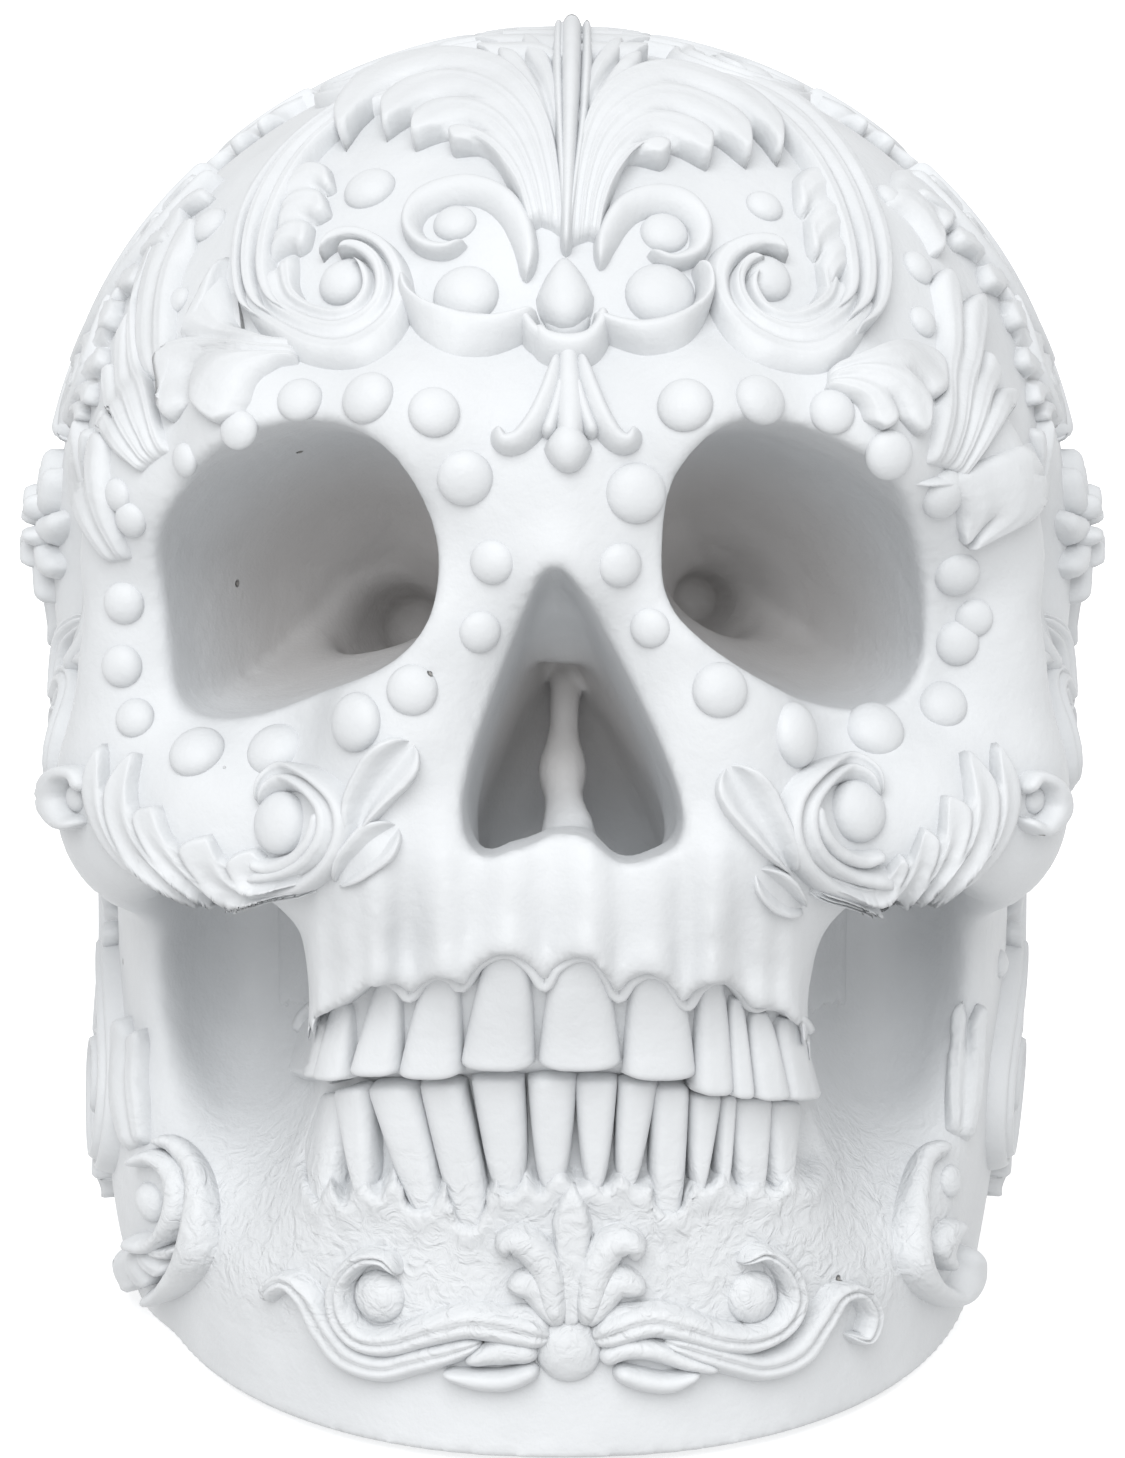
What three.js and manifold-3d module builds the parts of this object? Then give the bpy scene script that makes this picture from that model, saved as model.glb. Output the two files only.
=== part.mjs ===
// A table-top skull cast in white resin, with raised baroque scrolls and beads.
// Millimetres, +Z up, the face looks to -Y, and the origin is on the standing
// surface under the middle of the head.
//
// The head is a hollow casting that holds the cranium, the face and the upper
// teeth. The lower jaw is a second casting, glued to it on two pegs along the
// bite line. A plate closes the underside, and four felt pads stand under it.

import * as THREE from 'three';
import Module from 'manifold-3d';
import { mergeVertices } from 'three/addons/utils/BufferGeometryUtils.js';

const wasm = await Module();
wasm.setup();

// Driving dimensions of the head
const headWidth = 120;
const headDepth = 160;
const headHeight = 136;

// Castings
const wall = 9;
const fitGap = 0.3;
const softBlend = 12;
const bodyBlend = 6;
const faceBlend = 5;
const limbBlend = 4;
const rimBlend = 2;
const cellShare = 0.034;
const cell = headWidth * cellShare;

// Closing plate, felt pads and locating pegs
const plateThickness = 3;
const plateLedge = 3;
const drainDiameter = 10;
const padDiameter = 18;
const padThickness = 1;
const pegDiameter = 7;
const pegLength = 7;
const overrun = 20;

// Ornament
const beadDiameter = 5.4;
const smallBeadDiameter = 4.2;
const scrollWidth = 4.6;
const leafLength = 11;
const leafWidth = 4.6;
const leafHeight = 3.2;
const toothDepth = 7;
const toothRelief = 1.3;

// Sizes that follow
const halfWidth = headWidth / 2;
const halfDepth = headDepth / 2;
const scale = [halfWidth, halfDepth, headHeight];
const undersideZ = padThickness;

// Distance fields: each is a function of a point, negative inside

const clamp = (value, low, high) => Math.min(Math.max(value, low), high);
const toSize = (shares) => shares.slice(0, 3).map((share, axis) => share * scale[axis]);
const mirrored = (field) => (x, y, z) => field(Math.abs(x), y, z);

function blendMin(a, b, width) {
  const mix = clamp(0.5 + (b - a) / (2 * width), 0, 1);
  return b + (a - b) * mix - width * mix * (1 - mix);
}

const blendMax = (a, b, width) => -blendMin(-a, -b, width);

// Ellipsoid from shares: centre x, y, z and then its three radii.
function blob(shares) {
  const [cx, cy, cz] = toSize(shares);
  const [rx, ry, rz] = toSize(shares.slice(3));
  return (x, y, z) => {
    const [px, py, pz] = [(x - cx) / rx, (y - cy) / ry, (z - cz) / rz];
    const near = Math.hypot(px, py, pz);
    const slope = Math.hypot(px / rx, py / ry, pz / rz);
    return slope > 0 ? near * (near - 1) / slope : -Math.min(rx, ry, rz);
  };
}

// Rounded limb through knots of shares: x, y, z and a radius share of the half width.
function limb(knotShares) {
  const knots = knotShares.map((shares) => [...toSize(shares), shares[3] * halfWidth]);
  return (x, y, z) => {
    let distance = Infinity;
    for (let i = 1; i < knots.length; i += 1) {
      const [a, b] = [knots[i - 1], knots[i]];
      const along = [b[0] - a[0], b[1] - a[1], b[2] - a[2]];
      const offset = [x - a[0], y - a[1], z - a[2]];
      const lengthSquared = along.reduce((sum, v) => sum + v * v, 0);
      const dot = along.reduce((sum, v, axis) => sum + v * offset[axis], 0);
      const t = clamp(dot / lengthSquared, 0, 1);
      const gap = Math.hypot(...offset.map((v, axis) => v - t * along[axis]));
      const part = gap - a[3] - t * (b[3] - a[3]);
      distance = i === 1 ? part : blendMin(distance, part, limbBlend);
    }
    return distance;
  };
}

// Upright wall of superellipse section: centre y, radius x, radius y, power.
function uprightWall([cyShare, rxShare, ryShare, power]) {
  const [cy, rx, ry] = [cyShare * halfDepth, rxShare * halfWidth, ryShare * halfDepth];
  return (x, y) => {
    const radius = Math.abs(x / rx) ** power + Math.abs((y - cy) / ry) ** power;
    return (radius ** (1 / power) - 1) * Math.min(rx, ry);
  };
}

// Closed smooth outline through a few points, as a distance in the x-z plane.
function outlineDistance(pointShares) {
  const corners = pointShares.map(([x, z]) => new THREE.Vector3(x * halfWidth, 0, z * headHeight));
  const curve = new THREE.CatmullRomCurve3(corners, true, 'catmullrom', 0.5);
  const points = curve.getPoints(pointShares.length * 3).slice(0, -1);
  return (x, z) => {
    let [nearest, inside] = [Infinity, false];
    points.forEach((a, i) => {
      const b = points[(i + 1) % points.length];
      const [ex, ez, wx, wz] = [b.x - a.x, b.z - a.z, x - a.x, z - a.z];
      const t = clamp((wx * ex + wz * ez) / (ex * ex + ez * ez), 0, 1);
      nearest = Math.min(nearest, Math.hypot(wx - ex * t, wz - ez * t));
      if ((a.z > z) !== (b.z > z) && wx < ex * wz / ez) inside = !inside;
    });
    return inside ? -nearest : nearest;
  };
}

// The head, as shares of half width, half depth and height

const craniumShares = [0, 0.075, 0.58, 0.983, 0.913, 0.423];
const foreheadShares = [0, -0.25, 0.728, 0.8, 0.54, 0.268];
const upperJawShares = [0, -0.625, 0.441, 0.45, 0.35, 0.162];
const faceCoreShares = [0, -0.45, 0.603, 0.7, 0.35, 0.235];
const cheekboneShares = [0.667, -0.525, 0.441, 0.217, 0.175, 0.081];
const templeHollowShares = [0.967, -0.375, 0.618, 0.15, 0.213, 0.096];
const browShares = [
  [0, -0.763, 0.743, 0.15], [0.233, -0.763, 0.768, 0.142],
  [0.483, -0.688, 0.761, 0.142], [0.65, -0.563, 0.713, 0.142],
];
const socketRimShares = [
  [0.65, -0.563, 0.713, 0.142], [0.717, -0.525, 0.647, 0.125],
  [0.717, -0.538, 0.574, 0.125], [0.7, -0.563, 0.507, 0.15],
];
const cheekShares = [
  [0.7, -0.55, 0.485, 0.167], [0.55, -0.663, 0.456, 0.192],
  [0.367, -0.738, 0.463, 0.167], [0.233, -0.788, 0.544, 0.117],
];
const cheekArchShares = [
  [0.708, -0.5, 0.456, 0.15], [0.792, -0.325, 0.456, 0.108],
  [0.817, -0.1, 0.47, 0.092], [0.8, 0.1, 0.5, 0.092],
];
const noseBridgeShares = [[0, -0.763, 0.75, 0.142], [0, -0.831, 0.691, 0.117]];
const noseSideShares = [
  [0.117, -0.788, 0.706, 0.108], [0.2, -0.8, 0.632, 0.117],
  [0.25, -0.813, 0.559, 0.133], [0.267, -0.825, 0.478, 0.167],
];
const jawWallShares = [-0.1, 0.833, 0.825, 2.2];
const jawTopShare = 0.412;
const jawFootShare = 0.2;
const jawTaperShare = 0.07;
const jawChinShare = 0.045;
const neckWallShares = [0.125, 0.633, 0.65, 2.3];
const neckTopShare = 0.53;
const cheekHollowShares = [0.575, -0.625, 0.316, 0.158, 0.25, 0.125];
const lowerHollowShares = [0.617, -0.825, 0.272, 0.183, 0.275, 0.147];

const jawWall = uprightWall(jawWallShares);
const neckWall = uprightWall(neckWallShares);

function jawField(x, y, z) {
  const jawFoot = headHeight * jawFootShare;
  const jawCentreY = halfDepth * jawWallShares[0];
  const foot = clamp((jawFoot - z) / jawFoot, 0, 1) ** 1.5;
  const narrowed = x / (1 - jawTaperShare * foot);
  const reach = (y - jawCentreY) / (1 + jawChinShare * foot);
  const shifted = y < jawCentreY ? jawCentreY + reach : y;
  return blendMax(jawWall(narrowed, shifted), z - headHeight * jawTopShare, bodyBlend);
}

function neckField(x, y, z) {
  return blendMax(neckWall(x, y), z - headHeight * neckTopShare, bodyBlend);
}

const faceFields = [
  limb(browShares), limb(socketRimShares), limb(cheekShares), blob(cheekboneShares), limb(cheekArchShares),
  limb(noseBridgeShares), limb(noseSideShares), blob(upperJawShares), blob(faceCoreShares),
];
const face = mirrored((x, y, z) => faceFields
  .map((field) => field(x, y, z))
  .reduce((a, b) => blendMin(a, b, faceBlend)));
const cranium = blob(craniumShares);
const forehead = blob(foreheadShares);
const templeHollow = mirrored(blob(templeHollowShares));
const cheekHollowParts = [blob(cheekHollowShares), blob(lowerHollowShares)];
const cheekHollow = mirrored((x, y, z) => blendMin(
  cheekHollowParts[0](x, y, z), cheekHollowParts[1](x, y, z), bodyBlend));

// Eye sockets and nose: the outline at the face, which narrows with depth

const socketPlaneShare = -0.7;
const socketDepth = 24;
const socketTaper = 9;
const socketDriftShare = 0.22;
const nosePlaneShare = -0.85;
const noseDepth = 22;
const noseTaper = 5;
const leftSocketShares = [
  [-0.43, 0.76], [-0.26, 0.734], [-0.2, 0.651], [-0.28, 0.597], [-0.52, 0.56],
  [-0.66, 0.57], [-0.69, 0.648], [-0.64, 0.713], [-0.55, 0.743],
];
const rightSocketShares = [
  [0.24, 0.756], [0.43, 0.746], [0.56, 0.698], [0.62, 0.617], [0.555, 0.567],
  [0.37, 0.578], [0.19, 0.626], [0.157, 0.682],
];
const noseShares = [
  [-0.015, 0.679], [0.083, 0.618], [0.178, 0.518], [0.168, 0.468], [0.07, 0.468],
  [-0.025, 0.487], [-0.117, 0.464], [-0.155, 0.503], [-0.1, 0.599],
];

function bowl(outlineShares, planeShare, depth, taper, driftShare) {
  const outline = outlineDistance(outlineShares);
  const planeY = planeShare * halfDepth;
  return (x, y, z) => {
    const sunk = clamp(y - planeY, -halfDepth, halfDepth);
    const narrowing = sunk > 0 ? taper * (sunk / depth) ** 2 : 0;
    return blendMax(outline(x - driftShare * sunk, z) + narrowing, sunk - depth, bodyBlend);
  };
}

const faceBowls = [
  bowl(leftSocketShares, socketPlaneShare, socketDepth, socketTaper, socketDriftShare),
  bowl(rightSocketShares, socketPlaneShare, socketDepth, socketTaper, -socketDriftShare),
  bowl(noseShares, nosePlaneShare, noseDepth, noseTaper, 0),
];

function headField(x, y, z) {
  let distance = blendMin(cranium(x, y, z), forehead(x, y, z), softBlend);
  distance = blendMin(distance, face(x, y, z), bodyBlend);
  distance = blendMax(distance, -templeHollow(x, y, z), bodyBlend);
  distance = blendMin(distance, neckField(x, y, z), bodyBlend);
  distance = blendMin(distance, jawField(x, y, z), faceBlend);
  distance = blendMax(distance, -cheekHollow(x, y, z), bodyBlend);
  if (y < 0) {
    faceBowls.forEach((field) => {
      distance = blendMax(distance, -field(x, y, z), rimBlend);
    });
  }
  return distance;
}

const slopeStep = cell / 100;

function outward(field, x, y, z) {
  return new THREE.Vector3(
    field(x + slopeStep, y, z) - field(x - slopeStep, y, z),
    field(x, y + slopeStep, z) - field(x, y - slopeStep, z),
    field(x, y, z + slopeStep) - field(x, y, z - slopeStep),
  ).normalize();
}

// Surface of a field as quads on a grid, each corner moved onto the surface

function skin(field, low, high) {
  const counts = low.map((v, axis) => Math.ceil((high[axis] - v) / cell) + 1);
  const at = (i, j, k) => (i * counts[1] + j) * counts[2] + k;
  const values = new Float64Array(counts[0] * counts[1] * counts[2]);
  for (let i = 0; i < counts[0]; i += 1) {
    for (let j = 0; j < counts[1]; j += 1) {
      for (let k = 0; k < counts[2]; k += 1) {
        values[at(i, j, k)] = field(low[0] + i * cell, low[1] + j * cell, low[2] + k * cell);
      }
    }
  }
  const corners = [0, 1, 2, 3, 4, 5, 6, 7].map((n) => [n & 1, (n >> 1) & 1, n >> 2]);
  const edges = [];
  corners.forEach((a, m) => corners.forEach((b, n) => {
    if (n > m && a.filter((v, axis) => v !== b[axis]).length === 1) edges.push([a, b]);
  }));
  const index = new Map();
  const positions = [];
  const normals = [];

  function vertex(i, j, k) {
    const key = at(i, j, k);
    if (index.has(key)) return index.get(key);
    const sum = [0, 0, 0, 0];
    edges.forEach(([a, b]) => {
      const va = values[at(i + a[0], j + a[1], k + a[2])];
      const vb = values[at(i + b[0], j + b[1], k + b[2])];
      if ((va < 0) === (vb < 0)) return;
      const t = va / (va - vb);
      a.forEach((v, axis) => { sum[axis] += v + t * (b[axis] - v); });
      sum[3] += 1;
    });
    const point = [i, j, k].map((v, axis) => low[axis] + (v + sum[axis] / sum[3]) * cell);
    for (let step = 0; step < 3; step += 1) {
      const normal = outward(field, ...point);
      const distance = clamp(field(...point), -cell / 3, cell / 3);
      point[0] -= normal.x * distance;
      point[1] -= normal.y * distance;
      point[2] -= normal.z * distance;
    }
    index.set(key, positions.length / 3);
    positions.push(...point);
    normals.push(...outward(field, ...point).toArray());
    return index.get(key);
  }

  const faces = [];
  const spacing = (a, b) => Math.hypot(...[0, 1, 2].map((n) => positions[3 * a + n] - positions[3 * b + n]));
  function quad(a, b, c, d, flip) {
    const halves = spacing(a, c) < spacing(b, d) ? [[a, b, c], [a, c, d]] : [[a, b, d], [b, c, d]];
    halves.forEach((corner) => faces.push(...(flip ? corner.reverse() : corner)));
  }
  for (let i = 1; i < counts[0] - 1; i += 1) {
    for (let j = 1; j < counts[1] - 1; j += 1) {
      for (let k = 1; k < counts[2] - 1; k += 1) {
        const here = values[at(i, j, k)] < 0;
        if (here !== values[at(i + 1, j, k)] < 0) {
          quad(vertex(i, j - 1, k - 1), vertex(i, j, k - 1), vertex(i, j, k), vertex(i, j - 1, k), !here);
        }
        if (here !== values[at(i, j + 1, k)] < 0) {
          quad(vertex(i - 1, j, k - 1), vertex(i - 1, j, k), vertex(i, j, k), vertex(i, j, k - 1), !here);
        }
        if (here !== values[at(i, j, k + 1)] < 0) {
          quad(vertex(i - 1, j - 1, k), vertex(i, j - 1, k), vertex(i, j, k), vertex(i - 1, j, k), !here);
        }
      }
    }
  }
  const geometry = new THREE.BufferGeometry();
  geometry.setAttribute('position', new THREE.Float32BufferAttribute(positions, 3));
  geometry.setIndex(thinned(positions, normals, faces));
  return geometry;
}

// Larger triangles where the surface is nearly flat: an edge is closed up when each
// triangle that it moves still lies along the surface at its three corners.
const thinTurn = Math.cos(16 * Math.PI / 180);
const thinReach = 3 * cell;
const thinPassCount = 5;

function thinned(positions, normals, indices) {
  const point = (i) => new THREE.Vector3().fromArray(positions, 3 * i);
  const normal = (i) => new THREE.Vector3().fromArray(normals, 3 * i);
  const triangles = [];
  const around = new Map();
  for (let i = 0; i < indices.length; i += 3) {
    const corners = indices.slice(i, i + 3);
    corners.forEach((corner) => {
      if (!around.has(corner)) around.set(corner, new Set());
      around.get(corner).add(triangles.length);
    });
    triangles.push(corners);
  }
  const neighbours = (a) => new Set([...around.get(a)].flatMap((t) => triangles[t]));

  function fits(corners) {
    const [a, b, c] = corners.map(point);
    if (Math.max(a.distanceTo(b), b.distanceTo(c), c.distanceTo(a)) > thinReach) return false;
    const face = b.sub(a).cross(c.sub(a)).normalize();
    return corners.every((corner) => face.dot(normal(corner)) > thinTurn);
  }

  function closeUp(kept, gone) {
    const shared = [...neighbours(kept)].filter((i) => i !== kept && i !== gone && neighbours(gone).has(i));
    if (shared.length !== 2) return false;
    const moved = [...around.get(gone)].filter((t) => !triangles[t].includes(kept));
    const changed = moved.map((t) => triangles[t].map((i) => (i === gone ? kept : i)));
    if (!changed.every(fits)) return false;
    around.get(gone).forEach((t) => {
      if (moved.includes(t)) return;
      triangles[t].forEach((i) => around.get(i).delete(t));
      triangles[t] = null;
    });
    moved.forEach((t, n) => {
      triangles[t] = changed[n];
      around.get(kept).add(t);
    });
    around.get(gone).clear();
    return true;
  }

  for (let pass = 0; pass < thinPassCount; pass += 1) {
    const edges = [];
    triangles.forEach((corners) => corners && corners.forEach((a, n) => {
      const b = corners[(n + 1) % 3];
      if (a < b) edges.push([point(a).distanceTo(point(b)), a, b]);
    }));
    edges.sort((a, b) => a[0] - b[0]);
    edges.forEach(([, a, b]) => {
      if (!neighbours(a).has(b)) return;
      if (!closeUp(a, b)) closeUp(b, a);
    });
  }
  return triangles.filter((corners) => corners).flat();
}

// Solids

function solid(geometry) {
  const plain = geometry.clone();
  plain.deleteAttribute('normal');
  plain.deleteAttribute('uv');
  const merged = mergeVertices(plain);
  return new wasm.Manifold(new wasm.Mesh({
    numProp: 3,
    vertProperties: Float32Array.from(merged.attributes.position.array),
    triVerts: Uint32Array.from(merged.index.array),
  }));
}

// Geometry of a finished body, with each edge shorter than weldLength closed up.
const weldLength = 0.05;

function geometryOf(body) {
  const { numProp, vertProperties, triVerts } = body.getMesh();
  const count = vertProperties.length / numProp;
  const spot = (i) => vertProperties.subarray(i * numProp, i * numProp + 3);
  const parent = Array.from({ length: count }, (_, i) => i);
  const root = (i) => {
    let node = i;
    while (parent[node] !== node) node = parent[node];
    return node;
  };
  const corner3 = (i) => [...triVerts.subarray(3 * i, 3 * i + 3)];
  const triangles = Array.from({ length: triVerts.length / 3 }, (_, i) => corner3(i));
  let closedUp = true;
  while (closedUp) {
    closedUp = false;
    triangles.forEach((corners) => corners.forEach((corner, n) => {
      const [a, b] = [root(corner), root(corners[(n + 1) % 3])];
      const [p, q] = [spot(a), spot(b)];
      if (a === b || Math.hypot(p[0] - q[0], p[1] - q[1], p[2] - q[2]) > weldLength) return;
      parent[Math.max(a, b)] = Math.min(a, b);
      closedUp = true;
    }));
  }
  const kept = new Map();
  triangles.map((corners) => corners.map(root))
    .filter(([a, b, c]) => a !== b && b !== c && a !== c)
    .forEach((corners) => {
      const key = [...corners].sort((a, b) => a - b).join();
      if (kept.has(key)) kept.delete(key);
      else kept.set(key, corners);
    });
  const positions = Array.from({ length: count }, (_, i) => [...spot(i)]).flat();
  const geometry = new THREE.BufferGeometry();
  geometry.setAttribute('position', new THREE.Float32BufferAttribute(positions, 3));
  geometry.setIndex([...kept.values()].flat());
  return geometry;
}

const join = (parts) => parts.reduce((a, b) => a.add(b));

// Upright prism between two heights from an outline in x and y.
function prism(points, low, high) {
  const shape = new THREE.Shape(points.map(([x, y]) => new THREE.Vector2(x, y)));
  const geometry = new THREE.ExtrudeGeometry(shape, { depth: high - low, bevelEnabled: false });
  return geometry.translate(0, 0, low);
}

function disc(diameter, low, high, x, y, sides) {
  const geometry = new THREE.CylinderGeometry(diameter / 2, diameter / 2, high - low, sides);
  return geometry.rotateX(Math.PI / 2).translate(x, y, (low + high) / 2);
}

// Inside of the castings: a domed cavity over an upright well

const wellSides = 32;
const wellBackShare = 0.775;
const cavityRise = headHeight * craniumShares[2];
const cavityFront = halfDepth * socketPlaneShare + socketDepth + wall;
const cavityBack = halfDepth * (craniumShares[1] + craniumShares[4]) - wall;
const cavityRadii = [
  halfWidth * craniumShares[3] - wall,
  (cavityBack - cavityFront) / 2,
  headHeight * craniumShares[5] - wall,
];
const cavityY = (cavityBack + cavityFront) / 2;
const wellBack = halfDepth * wellBackShare - wall;
const wellY = (wellBack + cavityFront) / 2;
const wellRadii = [halfWidth * neckWallShares[1] - wall / 2, (wellBack - cavityFront) / 2];

function wellOutline(spread) {
  return Array.from({ length: wellSides }, (_, i) => {
    const angle = 2 * Math.PI * i / wellSides;
    return [Math.cos(angle) * (wellRadii[0] + spread), wellY + Math.sin(angle) * (wellRadii[1] + spread)];
  });
}

const cavity = solid(new THREE.SphereGeometry(1, 20, 12).rotateX(Math.PI / 2)
  .scale(...cavityRadii).translate(0, cavityY, cavityRise));
const well = solid(prism(wellOutline(0), -overrun, cavityRise));
const rebateTop = undersideZ + plateThickness + fitGap;
const rebate = solid(prism(wellOutline(plateLedge), -overrun, rebateTop));

// Parting: the jaw lies under the bite line and, beside the cheeks, under their arches

const biteShare = 0.301;
const biteDropShare = 0.035;
const biteHalfShare = 0.52;
const armTopShare = 0.39;
const partingBackShare = 0.1;
const biteSteps = 8;
const partingBack = halfDepth * partingBackShare;
const biteHalf = halfWidth * biteHalfShare;
const biteAt = (x) => headHeight * (biteShare - biteDropShare * (x / biteHalf) ** 2);

function jawBlock(spread) {
  const side = halfWidth + overrun;
  const inner = biteHalf - spread;
  const armTop = headHeight * armTopShare + spread;
  const bite = Array.from({ length: biteSteps + 1 }, (_, i) => {
    const x = inner * (2 * i / biteSteps - 1);
    return [x, biteAt(x) + spread];
  });
  const outline = [[-side, -overrun], [side, -overrun], [side, armTop], [inner, armTop],
    ...bite.reverse(), [-inner, armTop], [-side, armTop]];
  const depth = partingBack + spread + halfDepth + overrun;
  const shape = new THREE.Shape(outline.map(([x, z]) => new THREE.Vector2(x, z)));
  const geometry = new THREE.ExtrudeGeometry(shape, { depth, bevelEnabled: false });
  return solid(geometry.rotateX(Math.PI / 2).translate(0, partingBack + spread, 0));
}

// Ornament, seated on the surface of the head

const seatSteps = 40;
const settleSteps = 6;

function seatFrom(point, direction) {
  const spot = point.clone();
  for (let step = 0; step < seatSteps && point.distanceTo(spot) < halfDepth; step += 1) {
    spot.addScaledVector(direction, clamp(headField(spot.x, spot.y, spot.z), -cell, wall));
  }
  for (let step = 0; step < settleSteps; step += 1) {
    spot.addScaledVector(outward(headField, spot.x, spot.y, spot.z), -headField(spot.x, spot.y, spot.z));
  }
  return { spot, normal: outward(headField, spot.x, spot.y, spot.z) };
}

// Places on the front are given on a plane that leans back: a share of the half
// width across, and a share of the height up from the middle of the head.
const lean = 14 * Math.PI / 180;
const middleShare = 0.451;
const leanUp = new THREE.Vector3(0, Math.sin(lean), Math.cos(lean));
const leanIn = new THREE.Vector3(0, Math.cos(lean), -Math.sin(lean));

function seatFront([across, up]) {
  const start = new THREE.Vector3(across * halfWidth, halfDepth * jawWallShares[0], headHeight * middleShare)
    .addScaledVector(leanUp, up * headHeight)
    .addScaledVector(leanIn, -halfDepth);
  return seatFrom(start, leanIn);
}

function bead(shares, diameter) {
  const { spot } = seatFront(shares);
  return solid(new THREE.SphereGeometry(diameter / 2, 6, 5).translate(spot.x, spot.y, spot.z));
}

const skullBeadShares = [
  [-0.54, 0.22], [-0.44, 0.24], [-0.32, 0.24], [-0.21, 0.23], [-0.16, 0.18],
  [-0.25, 0.03], [-0.35, 0.01], [-0.49, -0.02], [-0.63, -0.02],
  [0.2, 0.24], [0.33, 0.24], [0.45, 0.23], [0.55, 0.2], [0.64, 0.17],
  [0.26, 0.03], [0.39, 0], [0.53, 0], [0.66, 0.01], [0.12, 0.17],
  [-0.34, 0.41], [-0.19, 0.38], [-0.38, 0.34], [-0.17, 0.33], [0.17, 0.37], [0.35, 0.33],
  [0.16, 0.32], [0.35, 0.4], [0, 0.3], [-0.46, -0.07], [0.48, -0.06],
];
const skullSmallBeadShares = [
  [-0.12, 0.12], [-0.14, 0.07], [-0.76, 0.04], [-0.76, 0.09], [-0.75, 0.16], [-0.64, 0.2],
  [0.67, 0.12], [0.69, 0.06], [0.1, 0.12], [0.15, 0.07], [-0.63, 0.39], [0.61, 0.36],
];
const jawBeadShares = [[0.01, -0.46], [-0.32, -0.42], [0.33, -0.42]];
const jawSmallBeadShares = [[-0.73, -0.38], [0.68, -0.36]];

// Scroll: a band along seated points, thickest in the middle and pointed at its ends.
const scrollSides = 5;
const scrollHeightShare = 0.7;

function scroll(pointShares, width, seat = seatFront, stepsPerPoint = 1.3) {
  const knots = pointShares.map(([across, up]) => new THREE.Vector3(across, up, 0));
  const curve = new THREE.CatmullRomCurve3(knots);
  const steps = Math.round(pointShares.length * stepsPerPoint);
  const seats = curve.getPoints(steps).map(({ x, y }) => seat([x, y]));
  const positions = [];
  const faces = [];
  for (let i = 1; i < steps; i += 1) {
    const along = seats[i + 1].spot.clone().sub(seats[i - 1].spot).normalize();
    const across = along.clone().cross(seats[i].normal).normalize();
    const radius = width / 2 * Math.sin(Math.PI * i / steps) ** 0.5;
    for (let n = 0; n < scrollSides; n += 1) {
      const angle = 2 * Math.PI * (n + 0.25) / scrollSides;
      const corner = seats[i].spot.clone()
        .addScaledVector(across, Math.cos(angle) * radius)
        .addScaledVector(seats[i].normal, Math.sin(angle) * radius * scrollHeightShare);
      positions.push(corner.x, corner.y, corner.z);
    }
  }
  const rings = steps - 1;
  const [start, end] = [rings * scrollSides, rings * scrollSides + 1];
  positions.push(...seats[0].spot.toArray(), ...seats[steps].spot.toArray());
  for (let n = 0; n < scrollSides; n += 1) {
    const next = (n + 1) % scrollSides;
    for (let i = 0; i < rings - 1; i += 1) {
      const [a, b] = [i * scrollSides, (i + 1) * scrollSides];
      faces.push(a + n, b + n, a + next, a + next, b + n, b + next);
    }
    faces.push(start, n, next, end, start - scrollSides + next, start - scrollSides + n);
  }
  const geometry = new THREE.BufferGeometry();
  geometry.setAttribute('position', new THREE.Float32BufferAttribute(positions, 3));
  geometry.setIndex(faces);
  return solid(geometry);
}

const skullScrollShares = [
  [[0.01, 0.34], [0.01, 0.41], [0.01, 0.47], [0.02, 0.53]],
  [[-0.02, 0.37], [-0.05, 0.44], [-0.13, 0.48], [-0.24, 0.48], [-0.34, 0.44]],
  [[0.04, 0.37], [0.07, 0.44], [0.15, 0.48], [0.25, 0.48], [0.33, 0.44]],
  [[-0.2, 0.51], [-0.37, 0.48], [-0.49, 0.43], [-0.53, 0.36], [-0.47, 0.3], [-0.35, 0.29],
    [-0.28, 0.34], [-0.34, 0.38]],
  [[0.25, 0.51], [0.42, 0.48], [0.53, 0.42], [0.56, 0.35], [0.49, 0.3], [0.36, 0.3],
    [0.29, 0.34], [0.35, 0.38]],
  [[-0.83, 0.22], [-0.82, 0.29], [-0.77, 0.35], [-0.69, 0.41]],
  [[0.78, 0.21], [0.79, 0.28], [0.77, 0.34], [0.73, 0.4]],
  [[-0.03, 0.27], [-0.09, 0.27], [-0.18, 0.27], [-0.25, 0.3], [-0.25, 0.35]],
  [[0.05, 0.27], [0.1, 0.27], [0.18, 0.27], [0.25, 0.3], [0.25, 0.35]],
  [[-0.77, -0.02], [-0.75, -0.07], [-0.7, -0.12], [-0.6, -0.14], [-0.45, -0.13], [-0.36, -0.09],
    [-0.38, -0.04], [-0.47, -0.02]],
  [[0.77, -0.02], [0.75, -0.07], [0.69, -0.12], [0.56, -0.14], [0.42, -0.13], [0.35, -0.09],
    [0.37, -0.04], [0.47, -0.02]],
];
const jawScrollShares = [
  [[-0.02, -0.455], [-0.12, -0.45], [-0.22, -0.465], [-0.32, -0.46], [-0.38, -0.43], [-0.35, -0.4], [-0.29, -0.4]],
  [[0.05, -0.455], [0.14, -0.45], [0.25, -0.465], [0.34, -0.455], [0.39, -0.425], [0.36, -0.39], [0.3, -0.4]],
  [[-0.14, -0.475], [-0.27, -0.48], [-0.38, -0.47], [-0.44, -0.43], [-0.5, -0.42]],
  [[0.17, -0.475], [0.3, -0.48], [0.41, -0.46], [0.46, -0.42], [0.52, -0.44]],
  [[-0.73, -0.42], [-0.66, -0.41], [-0.63, -0.37], [-0.68, -0.32], [-0.76, -0.33], [-0.82, -0.37]],
  [[0.73, -0.42], [0.66, -0.41], [0.62, -0.37], [0.64, -0.32], [0.71, -0.31], [0.78, -0.36]],
];

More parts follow.
